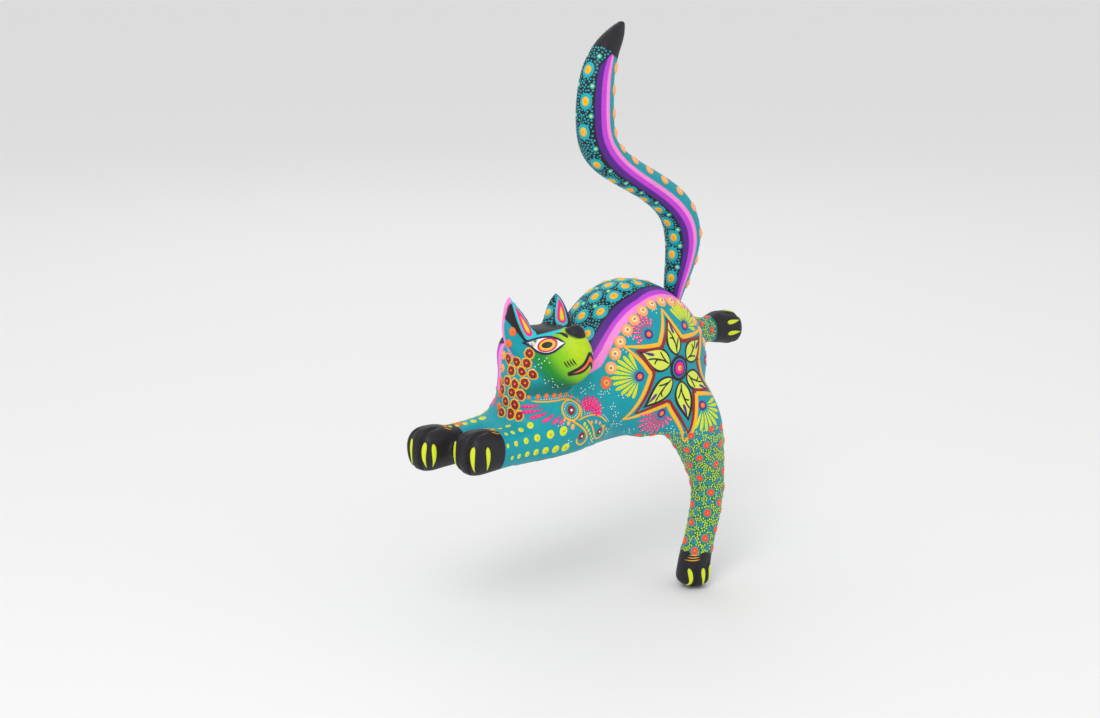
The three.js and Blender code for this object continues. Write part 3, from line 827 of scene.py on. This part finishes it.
def leaf(paint, flank, centre, angle, near, far, width, scale=1.0):
    """A leaf of the star: black outline, lime blade, a vein that forks and a purple drop."""
    a, b = polar(centre, angle, near, scale), polar(centre, angle, far, scale)
    spine = straight([a, b], 0.5)
    line = flank.path(spine)
    if len(line) < 6:
        return
    paint.stroke(line, leaf_width(width * scale), "black", thick=0.14, columns=11)
    inner = line[2:-5]
    paint.stroke(inner, leaf_width((width - 1.35) * scale), "leaf", lift=0.14, thick=0.1, columns=11)
    across = np.array([-math.sin(math.radians(angle)), math.cos(math.radians(angle))])
    ahead = np.array([math.cos(math.radians(angle)), math.sin(math.radians(angle))])
    length = (far - near) * scale
    root = np.array(a)

    def local(points):
        return flank.path([tuple(p) for p in curve([root + ahead * length * f + across * width * scale * s
                                                    for f, s in points])])

    for fork in (((0.05, 0.0), (0.3, -0.06), (0.55, 0.1), (0.72, 0.36)),
                 ((0.16, -0.05), (0.3, -0.3), (0.42, -0.62)),
                 ((0.32, -0.04), (0.46, 0.1), (0.5, 0.5))):
        paint.stroke(local(fork), tapered(0.5 * scale), "black", lift=0.24, thick=0.1, columns=5)
    paint.stroke(local(((0.86, -0.06), (0.7, -0.12), (0.56, -0.2))), teardrop(0.8 * scale), "purple",
                 lift=0.26, thick=0.14)


def star(paint, flank, centre, scale):
    """The flower star of the haunch."""
    middle = np.array(centre)

    def pull(p, inset):
        """The point, moved towards the middle of the star."""
        v = np.array(p) - middle
        return np.array(p) - v / np.linalg.norm(v) * inset * scale

    notches = [polar(centre, *notch, scale) for notch in STAR_NOTCHES[-1:] + STAR_NOTCHES]
    for tip, before, after in zip(STAR_TIPS, notches, notches[1:]):
        for inset, half, colour, lift in ((0.0, 1.15, "gold", 0.06), (2.1, 1.1, "maroon", 0.0)):
            sharp = pull(polar(centre, tip[0], tip[1], scale), inset * 2.6)
            for notch in (before, after):
                root = pull(notch, inset)
                bow = (root + sharp) / 2 + (middle - (root + sharp) / 2) * 0.03
                line = flank.path(curve([root, bow, sharp], 0.5))
                paint.stroke(line, lambda t, h=half: h * scale * (1 - 0.6 * t ** 2), colour, lift=lift,
                             thick=0.2)
    for tip in STAR_TIPS:
        leaf(paint, flank, centre, tip[0], 6.6, tip[2], tip[3], scale)
    p = flank.at(centre)
    for radius, colour, rise, lift, sides in STAR_DISCS:
        paint.dot(p, radius * scale, colour, rise=rise, lift=lift, sides=sides, flat=True)
    pearl(paint, p, 1.6 * scale, "peach")
    for angle, reach, aim, spread, number, size, colour, dots in FANS:
        fan(paint, flank, polar(centre, angle, reach, scale), aim, spread, number, size, colour, dots, scale)


def cluster(paint, flank, at, size=1.5):
    """Five white specks."""
    turn = RNG.uniform(0, 90)
    spots = [(0, 0)] + [(turn + k * 90 + RNG.uniform(-14, 14), size) for k in range(4)]
    for angle, reach in spots:
        p = flank.at(polar(at, angle, reach))
        if p is not None:
            paint.dot(p, 0.36, "white", rise=0.14, sides=7)


def beads(paint, surface, sign):
    """The row of beads that follows the pink stripe over the haunch, brighter at its low front end."""
    line = []
    for x in np.arange(-10, 60, 0.5):
        out = 24.2 - 1.6 * min(1, max(0, (x - 8) / 20)) - 0.1 * max(0, x - 45)
        hit = surface.cast((x, sign * out, TOP), DOWN)
        if hit is not None and hit[0][2] > 30:
            line.append(hit[0])
    line = np.array(line)
    run = np.concatenate([[0], np.cumsum(np.linalg.norm(np.diff(line, axis=0), axis=1))])
    number = int((run[-1] - 4) / BEAD_STEP)
    for k in range(number):
        p = line[np.searchsorted(run, 4 + k * BEAD_STEP)]
        pearl(paint, p, 3.1, "orange" if k < 1 else "peach", stretch=1.08)
    flank = flank_of(surface, sign)
    middle, reach = ((32, 36), 32) if sign < 0 else ((36, 31), 27.5)
    for k in range(3):
        p = flank.at(polar(middle, 40 - 12.5 * k, reach))
        if p is not None:
            pearl(paint, p, 2.2, "peach", stretch=1.3, along=(0.3, 0, 1))


# The eye that the shoulder's scrolls turn around, the eye of its fan, and clusters of specks around them.
SCROLL = (-30.5, 24.8)
SHOULDER_FAN = (-20.2, 19.4)
SHOULDER_SPECKS = ((-15.3, 34.1), (-20.8, 32.4), (-10.6, 29.4), (-3.6, 22.0), (-1.0, 17.0), (-37.6, 18.6),
                   (-32.8, 8.4), (-17.4, 6.4), (-5.6, 8.6), (2.8, 11.0), (-2.0, 12.0), (-6.5, 30.4), (3.2, 50.4),
                   (8.8, 56.6), (27, 67.0), (0.6, 27.5), (9.7, 6.0), (30.6, 5.0), (-11.6, 22.5))


def shoulder(paint, flank):
    """Scrolls, petals and small beads on the shoulder."""
    def draw(points, half):
        paint.stroke(flank.path(curve(points, 0.5)), tapered(half, 0.06), "gold", lift=0.1, thick=0.22)

    draw([(-50, 31.6), (-44, 30.9), (-37, 30.6), (-32, 30.4), (-27.5, 28.4), (-24.8, 24.4), (-25.6, 19.8)], 0.42)
    draw([polar(SCROLL, a, 4.9) for a in range(70, 405, 15)], 0.5)
    draw([(-33.6, 21.4), (-29.5, 18.6), (-25.4, 15.4), (-22.2, 11.5), (-21.8, 8.2), (-24.4, 6.0), (-27.4, 7.2),
          (-28.6, 10.2)], 0.5)
    draw([(-27.2, 19.2), (-23, 20.2), (-17.5, 20.2), (-12, 18.2), (-8, 14.6)], 0.4)
    draw([(-21.8, 18.8), (-18.4, 14.4), (-16.2, 9.2), (-13.4, 6.6), (-10.4, 7.8), (-10, 11.6), (-12, 14.2)], 0.45)
    for at, size in ((SCROLL, 2.2), ((-25.4, 10.8), 1.9), ((-12.9, 10.6), 1.6)):
        p = flank.at(at)
        paint.dot(p, size, "maroon", rise=0.3, lift=0.1, stretch=1.15, sides=18)
        paint.dot(p, size * 0.38, "white", rise=0.2, lift=0.4, sides=9)
    for k in range(20):
        p = flank.at(polar(SCROLL, k * 18, 3.5))
        paint.dot(p, 0.3, "white", rise=0.14, sides=6)
    for line in ([(-46, 32.2), (-36, 31.8), (-30, 31.6), (-26, 29.8), (-23.4, 26), (-22.6, 21.6)],
                 [(-21, 21.6), (-15, 21), (-9.6, 18.2), (-6.6, 14.8)]):
        for p in flank.path(curve(line, 1.25)):
            paint.dot(p, 0.3, "white", rise=0.14, sides=6)
    for k in range(8):
        angle = 112 - k * 15.5
        reach = 9.6 + 1.6 * math.sin(k * 0.5)
        line = flank.path(straight([polar(SHOULDER_FAN, angle, 2.8), polar(SHOULDER_FAN, angle, reach)]))
        petal(paint, line, 1.0, "hot_pink")
    for a, b in (((-46, 29.2), (-53, 28.6)), ((-44.6, 27.2), (-53.2, 25.6)), ((-42.4, 25.6), (-51, 22.8)),
                 ((-39.6, 24.4), (-46.6, 20.8)), ((-37.2, 23.0), (-42.2, 19.6)), ((-35.6, 21.8), (-38.6, 18.8))):
        petal(paint, flank.path(straight([a, b])), 0.95, "hot_pink")
    chin = [(-50.8, 33.4), (-47.4, 33.7), (-43.6, 33.7), (-39.4, 33.4), (-35.6, 33.0), (-31.6, 32.4),
            (-28.4, 31.0), (-25.6, 29.0)]
    for k, at in enumerate(chin):
        p = flank.at(at)
        if p is not None:
            paint.dot(p, 1.0 + 0.35 * math.sin(k * 0.55), "orange", rise=0.35, stretch=1.3, sides=14)
            paint.dot(p, 0.36, "gold", rise=0.16, lift=0.34, sides=8)
    for at, size in (((-35.4, 21.0), 0.9), ((-33.2, 18.9), 1.15), ((-30.9, 16.6), 1.35), ((-18.6, 16.6), 0.8),
                     ((-15.6, 16.2), 0.9), ((-12.8, 15.0), 0.8), ((-9.8, 12.8), 0.7), ((-7.6, 10.8), 0.6)):
        paint.dot(flank.at(at), size, "peach", rise=0.3, stretch=1.2, sides=12)
    for k in range(7):
        p = flank.at((-23.4 + 1.3 * k, 16.6 - 1.9 * k))
        if p is not None:
            paint.dot(p, 0.85 - 0.07 * k, "lime", rise=0.24, stretch=1.4, sides=10)
    for at in SHOULDER_SPECKS:
        cluster(paint, flank, at)


def petal(paint, line, half, colour):
    if len(line) < 4:
        return
    paint.stroke(line, teardrop(half, 0.75), colour, lift=0.05, thick=0.28)
    for share in (0.5, 0.68, 0.84):
        paint.dot(line[int(share * (len(line) - 1))], 0.22, "white", rise=0.1, lift=0.3, sides=6)


def rows_on_foreleg(paint, surface, side, front):
    """Rows of lime dots that grow towards the shoulder."""
    wrist = front + 21.5
    for row, degrees in enumerate((100, 58, 20, -20)):
        number = 6 if row == 2 else 7
        for k in range(number):
            share = k / (number - 1)
            x = wrist + 1 + (2.5 if row % 2 else 0) + 33 * (share ** 1.12)
            a = math.radians(degrees)
            aim = np.array([0, side * math.cos(a), math.sin(a)])
            origin = np.array([x, side * PAW_Y, 10.5]) + aim * 40
            hit = surface.cast(origin, -aim)
            if hit is None or not 1.5 < hit[0][2] < 22 or (row < 2 and x > -47):
                continue
            size = 1.0 + 1.35 * share
            paint.dot(hit[0], size, "lime", rise=0.3, stretch=1.12, sides=16)
            paint.dot(hit[0], size * 0.3, "orange", rise=0.14, lift=0.3, sides=7)


def claws(paint, surface, points, length, aim, down):
    """Lime teardrops on the toes, each laid from its end at the sole up to the point given."""
    for p in points:
        start = np.array(p, dtype=float)
        end = start + np.array(down) * length
        line = []
        for q in straight([end, start], 0.6):
            hit = surface.cast(q - np.array(aim) * 30, aim)
            if hit is not None:
                line.append(hit[0])
        if len(line) > 4:
            paint.stroke(line, teardrop(1.3, 0.72), "lime", thick=0.45)


def eye(paint, face):
    """Almond eye with its rings, lids and brow."""
    top = [(6.4, 10.2), (10, 10.9), (14, 11.7), (18, 11.7), (22, 10.6), (25.8, 8.6)]
    low = [(6.4, 10.2), (9.5, 8.2), (13, 5.8), (17, 4.4), (21, 5.0), (25.8, 8.6)]
    upper, lower = curve(top, 0.4), curve(low, 0.4)
    count = 40
    a = [upper[int(k * (len(upper) - 1) / count)] for k in range(count + 1)]
    b = [lower[int(k * (len(lower) - 1) / count)] for k in range(count + 1)]
    verts, faces = paint.part("white")
    start = len(verts)
    columns = 13
    for p, q in zip(a, b):
        for c in range(columns):
            hit = face.at(tuple(p + (q - p) * c / (columns - 1)))
            loc, nor = face.surface.snap(hit)
            verts.append(tuple(loc + nor * (0.17 if 0 < c < columns - 1 else 0.02)))
    for i in range(count):
        for c in range(columns - 1):
            k = start + i * columns + c
            faces.append((k, k + 1, k + columns + 1, k + columns))

    def ring(rx, ry, colour, lift):
        part, quads = paint.part(colour)
        first = len(part)
        sides = 32
        for share in (1.0, 0.8, 0.5, 0.2):
            for k in range(sides):
                t = 2 * math.pi * k / sides
                hit = face.at((17.7 + rx * share * math.cos(t), 8.25 + ry * share * math.sin(t)))
                loc, nor = face.surface.snap(hit)
                part.append(tuple(loc + nor * (lift if share < 1 else lift - 0.08)))
        for r in range(3):
            for k in range(sides):
                i, j = first + r * sides + k, first + r * sides + (k + 1) % sides
                quads.append((i, j, j + sides, i + sides))
        quads.append(tuple(first + 3 * sides + k for k in range(sides)))

    ring(4.8, 3.2, "red", 0.25)
    ring(4.05, 2.6, "white", 0.30)
    ring(3.75, 2.3, "gold", 0.36)
    ring(2.7, 1.45, "black", 0.42)
    paint.stroke(face.path(upper), tapered(0.6), "navy", lift=0.16, thick=0.22)
    paint.stroke(face.path(lower), tapered(0.55), "navy", lift=0.16, thick=0.22)
    brow = curve([(19.2, 13.0), (22, 13.0), (24.6, 12.2), (26.4, 11.0)], 0.4)
    paint.stroke(face.path(brow), teardrop(0.85, 0.75), "black", thick=0.16)
    for k in range(4):
        a, b = (25.4 + 1.15 * k, 0.1 + 0.35 * k), (26.9 + 1.15 * k, -3.4 + 0.3 * k)
        paint.stroke(face.path(curve([a, ((a[0] + b[0]) / 2 - 0.1, (a[1] + b[1]) / 2), b], 0.4)),
                     tapered(0.38, 0.4), "black", thick=0.16)


def snapped(surface, points):
    return [surface.snap(from_head(*p))[0] for p in curve(points, 0.4)]


def mouth(paint, surface):
    """A black-rimmed orange mouth folded over the end of the muzzle."""
    for sign in (-1, 1):
        upper = [(34.4, 0.0, 2.2), (33.8, sign * 1.8, 0.2), (32.6, sign * 3.6, -2.4), (30.2, sign * 6.0, -4.6),
                 (26.0, sign * 8.8, -6.6)]
        lower = [(34.4, 0.0, -2.6), (33.6, sign * 1.6, -4.4), (32.2, sign * 3.4, -5.9), (29.8, sign * 6.0, -7.0),
                 (26.0, sign * 8.6, -7.2)]
        middle = [tuple((np.array(a) + np.array(b)) / 2) for a, b in zip(upper, lower)]
        paint.stroke(snapped(surface, middle), lambda t: 2.0 * (1 - t) ** 0.75 + 0.15, "orange", lift=0.06,
                     thick=0.12, columns=7)
        paint.stroke(snapped(surface, upper), lambda t: 0.95 - 0.2 * t, "black", lift=0.12, thick=0.18)
        paint.stroke(snapped(surface, lower), lambda t: 0.85 - 0.2 * t, "black", lift=0.12, thick=0.18)


def ear_marks(paint, surface, sign, turned, foot, tip, wide=1.0):
    """Cyan, pink and yellow drops, one in the other, in the hollow of the ear."""
    normal = LOOK * math.cos(turned) + LEFT * sign * math.sin(turned)
    side = LEFT * math.cos(turned) - LOOK * sign * math.sin(turned)

    def line(first, last):
        points = []
        for share in np.linspace(first, last, 26):
            s = foot[0] + (tip[0] - foot[0]) * share
            w = foot[1] + (tip[1] - foot[1]) * share
            hit = surface.cast(SKULL + side * s + UP * w + normal * 60, -normal)
            if hit is not None:
                points.append(hit[0])
        return points

    for first, last, half, colour, lift in ((1.1, -0.1, 3.5, "cyan", 0.0), (0.9, -0.01, 2.35, "hot_pink", 0.07),
                                            (0.6, 0.08, 1.1, "gold", 0.14), (0.5, 0.12, 0.7, "lime", 0.2)):
        path = line(first, last)
        if len(path) > 5:
            paint.stroke(path, teardrop(half * wide, 0.78), colour, lift=lift, thick=0.1, columns=7)


def band_dots(paint, points, big, spacing=1.38, size=0.58):
    """Close rows of teal specks between the big dots."""
    points = np.array(points)
    if not len(points):
        return
    for i in scatter(points, spacing, 4000, big):
        paint.dot(points[i], size * RNG.uniform(0.85, 1.12), "halo", rise=0.16, sides=7)


def eye_dot(paint, p, radius, along=None):
    """A big gold dot with its halo."""
    paint.dot(p, radius * 1.9, "halo", rise=0.16, stretch=1.12, along=along, sides=24, flat=True)
    paint.dot(p, radius, "gold", rise=0.5, lift=0.14, stretch=1.22, along=along, sides=18)
    paint.dot(p, radius * 0.28, "orange", rise=0.16, lift=0.56, sides=7)


def small_eye(paint, p, radius):
    paint.dot(p, radius * 2.0, "halo", rise=0.14, sides=14, flat=True)
    paint.dot(p, radius, "lime", rise=0.28, lift=0.1, sides=10)


# ---------------------------------------------------------------- build the carving
def colour_layer(mesh, colour):
    layer = mesh.color_attributes.new("paint", "FLOAT_COLOR", "POINT")
    data = np.concatenate([np.clip(colour, 0, 1), np.ones((len(colour), 1))], axis=1)
    layer.data.foreach_set("color", data.ravel())


def quads_of(mesh):
    """The corners of every face, and the glued part that each face belongs to."""
    quads = np.empty(len(mesh.loops), dtype=int)
    mesh.loops.foreach_get("vertex_index", quads)
    index = np.empty(len(mesh.polygons), dtype=np.int32)
    mesh.polygons.foreach_get("material_index", index)
    return quads.reshape(-1, 4), index


def split(mesh, names, body):
    """The finished skin as one piece for each glued part, with their shading carried across the joins."""
    normal = vertex_normals(mesh)
    verts = np.empty(len(mesh.vertices) * 3)
    mesh.vertices.foreach_get("co", verts)
    verts = verts.reshape(-1, 3)
    colour = np.empty(len(mesh.vertices) * 4)
    mesh.color_attributes["paint"].data.foreach_get("color", colour)
    colour = colour.reshape(-1, 4)
    quads, index = quads_of(mesh)
    for i, name in enumerate(names):
        faces = quads[index == i]
        used, inverse = np.unique(faces, return_inverse=True)
        piece = bpy.data.meshes.new(f"{name}_painted")
        piece.from_pydata(verts[used].tolist(), [], inverse.reshape(-1, 4).tolist())
        piece.shade_smooth()
        colour_layer(piece, colour[used][:, :3])
        piece.normals_split_custom_set_from_vertices(normal[used].tolist())
        piece.materials.append(SKIN)
        obj = linked(f"{name}_painted", piece)
        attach(obj, body)
        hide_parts(name)


SKIN = paint_material("painted_wood")
LAYERS = {name: paint_material(f"paint_{name}", name, rough=0.42, coat=0.12) for name in COLOURS if name != "wood"}
BARE = paint_material("bare_wood", "wood", rough=0.6, coat=0.0)

def labels_of(mesh):
    """The glued part under each vertex."""
    quads, index = quads_of(mesh)
    label = np.zeros(len(mesh.vertices), dtype=int)
    label[quads] = index[:, None]
    return label


def mark_flanks(paint, body):
    for sign, centre, scale in ((-1, STAR, 1.0), (1, (37.0, 33.0), 0.86)):
        flank = flank_of(body, sign)
        star(paint, flank, centre, scale)
        beads(paint, body, sign)
        shoulder(paint, flank)
    for spot in ((-50, 49.7), (-45, 42.4), (-40.7, 39.5), (-47.6, 53.0)):
        cluster(paint, flank_of(body, -1), spot)


def mark_rump(paint, body):
    rear = rear_of(body)
    fan(paint, rear, (-1, 30), 90, 330, 15, (10, 10), "lime", "orange")
    for spot in ((-9, 48), (8, 49), (-12, 14), (9, 14), (-13, 36), (0, 50), (11, 40), (-1, 12)):
        cluster(paint, rear, spot)
    for spot in ((60, 52), (64, 44), (69, 35), (75, 46), (79, 37), (62, 30), (72, 26), (84, 44)):
        cluster(paint, flank_of(body, 1), spot)


def mark_spine(paint, body, co, zone):
    """Three rows of gold dots, small lime ones between them, and specks over all the black."""
    big = []
    for y in (0.0, -8.8, 8.8):
        for k in range(9):
            x = -15 + 9.6 * k + (4.8 if y == 0 else 0)
            if x > 58 or (y and x > 34):
                continue
            hit = body.cast((x, y * (1 if x < 20 else 0.85), TOP), DOWN)
            if hit is None or hit[0][2] < 34:
                continue
            eye_dot(paint, hit[0], 2.1, (1, 0, 0.3))
            big.append((hit[0], 4.6))
            other = body.cast((x + 0.6, (abs(y) - 4.6) * (1 if y > 0 else -1), TOP), DOWN)
            if other is not None and x < 50 and y:
                small_eye(paint, other[0], 0.78)
                big.append((other[0], 2.1))
    band_dots(paint, co[zone["band"] > 0.95], big)
    band_dots(paint, co[zone["nape"] > 0.98], [])
    ear_dot = np.array([-28, -3.7, 71.0])
    eye_dot(paint, ear_dot, 1.7, (0, 0, 1))
    band_dots(paint, co[zone["ear_back"] > 0.9], [(body.snap(ear_dot)[0], 3.8)])


def mark_neck(paint, body, co, zone, seeds):
    """Beads down the edge of the neck, and a blot of gold and maroon for each cell."""
    for k in range(7):
        angle = math.radians(167 - 1.0 * k)
        out = np.array([math.cos(angle), math.sin(angle), 0])
        origin = np.array([SKULL[0], SKULL[1], 59.0 - 6.6 * k]) + out * 60
        hit = body.cast(origin, -out)
        if hit is not None:
            pearl(paint, hit[0], 1.75, "orange" if k > 2 else "peach", stretch=1.3, along=(0, 0, 1))
    for bead in ((-56, -8.6, 66.6), (-57.8, -7.8, 60.8)):
        pearl(paint, np.array(bead), 1.75, "orange", stretch=1.25, along=(0, 0, 1))
    outside = zone["cells"] <= 0.5
    for around, height in seeds:
        d = (zone["around"] - around) ** 2 + (co[:, 2] - height) ** 2
        d[outside] = math.inf
        k = d.argmin()
        if d[k] > 0.8:
            continue
        lean = (RNG.uniform(-1, 1), 0, 1)
        shape = [RNG.uniform(0.84, 1.12) for _ in range(8)]
        stretch = RNG.uniform(1.0, 1.25)
        for radius, colour, rise, lift in ((2.95, "gold", 0.12, 0.0), (2.25, "maroon", 0.1, 0.12)):
            paint.dot(co[k], radius, colour, rise=rise, lift=lift, stretch=stretch, along=lean, sides=8,
                      flat=True, shape=shape)
        paint.dot(co[k], 0.8, "ember", rise=0.12, lift=0.2, sides=9)
        paint.dot(co[k], 0.42, "gold", rise=0.12, lift=0.28, sides=7)


def mark_paws(paint, body):
    for side, front in FOREPAWS:
        rows_on_foreleg(paint, body, side, front)
        toes, flank_toe = ((6.6, -6.6), front + 9) if side < 0 else ((2, -6.4), front + 5.5)
        claws(paint, body, [(front + 4, side * PAW_Y + k, 16.5) for k in toes], 12.5, (1, 0, -0.25), DOWN)
        claws(paint, body, [(flank_toe, side * PAW_Y, 16)], 11.5, (0, 1, 0), DOWN)
        starts = [(front + 20.5 + 0.4 * k, side * PAW_Y - 5 + 2.4 * k) for k in range(5)]
        for start in starts:
            line = top_of(body).path(straight([start, (start[0] - 4.2, start[1] + 0.8)], 0.5))
            paint.stroke(line, tapered(0.24, 0.3), "gold", thick=0.16)
    claws(paint, body, [(50.5 + k * 6.2, -60, -75.5) for k in (-1, 0, 1)], 9.5, (0, 1, 0), DOWN)
    for k in range(4):
        start = (44.6, -67.6 - 1.3 * k)
        line = flank_of(body, -1).path(straight([start, (start[0] + 4.6, start[1] + 0.9)]))
        paint.stroke(line, tapered(0.26, 0.3), "gold", thick=0.18)
    claws(paint, body, [(136, 20, 28 + 6.4 * k) for k in (0, 1)], 10, (0, 1, 0), (1, 0, 0))
    claws(paint, body, [(140, 27, 50)], 10, DOWN, (1, 0, 0))


def mark_head(paint, body):
    for sign in (-1, 1):
        eye(paint, face_of(body, sign))
    mouth(paint, body)
    ear_marks(paint, body, -1, 0.5, (-6.2, 12.6), (-12.4, 30.2), 1.1)
    ear_marks(paint, body, 1, 0.0, (11.2, 14.6), (15.6, 28.0), 1.25)


def mark_hind_legs(paint, co, zone):
    """Lime stipple, embers with teal halos, small ringed dots."""
    hanging = co[zone["leg"] > np.array([RNG.uniform(0.15, 0.85) for _ in co])]
    stretched = co[zone["far_leg"] > 0.5]
    for points, most in ((hanging, 60), (stretched, 24)):
        halo = []
        for i in scatter(points, 8.2, most):
            paint.dot(points[i], 2.9, "teal", rise=0.12, sides=22, flat=True)
            paint.dot(points[i], 1.95, "ember", rise=0.5, lift=0.1, stretch=1.1, along=(0.2, 0, 1), sides=18)
            paint.dot(points[i], 0.5, "peach", rise=0.16, lift=0.56, sides=8)
            halo.append((points[i], 3.3))
        for i in scatter(points, 4.4, 80, [(c, 5.0) for c, r in halo]):
            paint.dot(points[i], 1.6, "teal", rise=0.12, sides=14, flat=True)
            paint.dot(points[i], 0.6, "maroon", rise=0.2, lift=0.1, sides=8)
            halo.append((points[i], 1.9))
        for i in scatter(points, 1.06, 5000, halo):
            lean = (RNG.uniform(-1, 1), 0, 1)
            paint.dot(points[i], 0.42, "lime", rise=0.12, stretch=1.5, along=lean, sides=6)


def build_carving():
    skin = carve()
    co = places(skin)
    colour, zone, seeds = paint_carving(co, vertex_normals(skin), labels_of(skin))
    colour_layer(skin, colour)
    split(skin, CARVED, "carving")
    body = Surface(skin)
    paint = Paint(body, "carving", "painted_body")
    mark_flanks(paint, body)
    mark_rump(paint, body)
    mark_spine(paint, body, co, zone)
    mark_neck(paint, body, co, zone, seeds)
    mark_paws(paint, body)
    mark_head(paint, body)
    mark_hind_legs(paint, co, zone)
    paint.make("raised")


# ---------------------------------------------------------------- build the tail
def tail_mesh():
    """The tail's own skin, with a crisp peg and a drawn-out tip."""
    mesh = voxel_skin(["tail"], 1.1)
    co, edges = places(mesh), edges_of(mesh)
    foot = (co - TAIL_SEAT) @ TAIL_AXIS
    relax(co, edges, 8, smoothstep(1.0, 6.0, foot) * (1 - 0.8 * smoothstep(194, 203, co[:, 2])))
    point = np.clip((co[:, 2] - 172) / 36, 0, 1) ** 2
    co += point[:, None] * [0.6, 0, 4.0]
    move_to(mesh, co)
    co += vertex_normals(mesh) * (0.45 * smoothstep(0.5, 4.0, foot))[:, None]
    move_to(mesh, co)
    return subdivided(mesh, 2)


def build_tail():
    tail_skin = tail_mesh()
    co = places(tail_skin)
    colour, zone, along, angle, length = paint_tail(co, centreline(co))
    colour_layer(tail_skin, colour)
    tail_skin.shade_smooth()
    tail_skin.materials.clear()
    tail_skin.materials.append(SKIN)
    obj = linked("tail_painted", tail_skin)
    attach(obj, "tail")
    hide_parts("tail")
    paint = Paint(Surface(tail_skin), "tail", "painted_tail")

    def spot(distance, degrees):
        """The point of the skin at a distance along the tail and an angle around it."""
        turned = (angle - degrees + 180) % 360 - 180
        return co[((along - distance) ** 2 + turned ** 2 * 0.02).argmin()]

    big = []
    for k in range(12):
        distance = 9 + 13.2 * k
        if distance > length - 18:
            break
        turn = 8 if k % 2 else 16
        p = spot(distance, turn)
        eye_dot(paint, p, 2.0, spot(distance + 3, turn) - p)
        big.append((p, 4.3))
        for turn in (-26, 34):
            p = spot(distance + 6.6, turn)
            small_eye(paint, p, 0.75)
            big.append((p, 2.1))
    for k in range(13):
        distance = 8 + 12.6 * k
        if distance > length - 20:
            break
        for turn in (134, -134):
            p = spot(distance, turn)
            pearl(paint, p, 2.3, "peach", stretch=1.3, along=spot(distance + 3, turn) - p)
    band_dots(paint, co[zone > 0.5], big)
    paint.make("tail_raised")


# ---------------------------------------------------------------- studio
def pale_floor():
    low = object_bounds()[0][2]
    mesh = bpy.data.meshes.new("floor")
    reach = 6.0
    corners = [(-reach, -reach, low), (reach, -reach, low), (reach, reach, low), (-reach, reach, low)]
    mesh.from_pydata(corners, [], [(0, 1, 2, 3)])
    floor = linked("floor", mesh)
    pale = bpy.data.materials.new("pale_floor")
    pale.use_nodes = True
    shader = pale.node_tree.nodes["Principled BSDF"]
    shader.inputs["Base Color"].default_value = (0.86, 0.86, 0.86, 1)
    shader.inputs["Roughness"].default_value = 0.9
    mesh.materials.append(pale)
    floor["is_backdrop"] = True


def softbox(name, place, size, power):
    lamp = bpy.data.lights.new(name, "AREA")
    lamp.shape = "DISK"
    lamp.size = size
    lamp.energy = power
    obj = linked(name, lamp)
    obj.location = place
    obj.rotation_euler = (Vector((0, 0, 0.05)) - Vector(place)).to_track_quat("-Z", "Y").to_euler()


def studio():
    pale_floor()
    world = bpy.data.worlds.new("studio")
    world.use_nodes = True
    sky = world.node_tree.nodes["Background"]
    sky.inputs["Color"].default_value = (1, 1, 1, 1)
    sky.inputs["Strength"].default_value = 0.82
    bpy.context.scene.world = world
    softbox("key", (-0.75, -0.45, 0.95), 0.6, 5.0)
    softbox("fill", (0.55, -1.1, 0.5), 0.9, 0.7)
    softbox("back", (0.6, 0.9, 0.9), 0.8, 1.4)
    camera_data = bpy.data.cameras.new("camera")
    camera_data.sensor_width = 36
    camera_data.lens = 57.7
    camera = linked("camera", camera_data)
    camera.location = (-0.6148, -0.6282, 0.2717)
    camera.rotation_euler = Vector((0.6634, 0.7040, -0.2538)).to_track_quat("-Z", "Y").to_euler()
    bpy.context.scene.camera = camera
    bpy.context.scene.view_settings.view_transform = "Standard"


build_carving()
build_tail()
for name in ("neck_dowel", "left_hind_leg_dowel", "right_hind_leg_dowel"):
    dowel = node_object(name)
    dowel.data.materials.clear()
    dowel.data.materials.append(BARE)
studio()
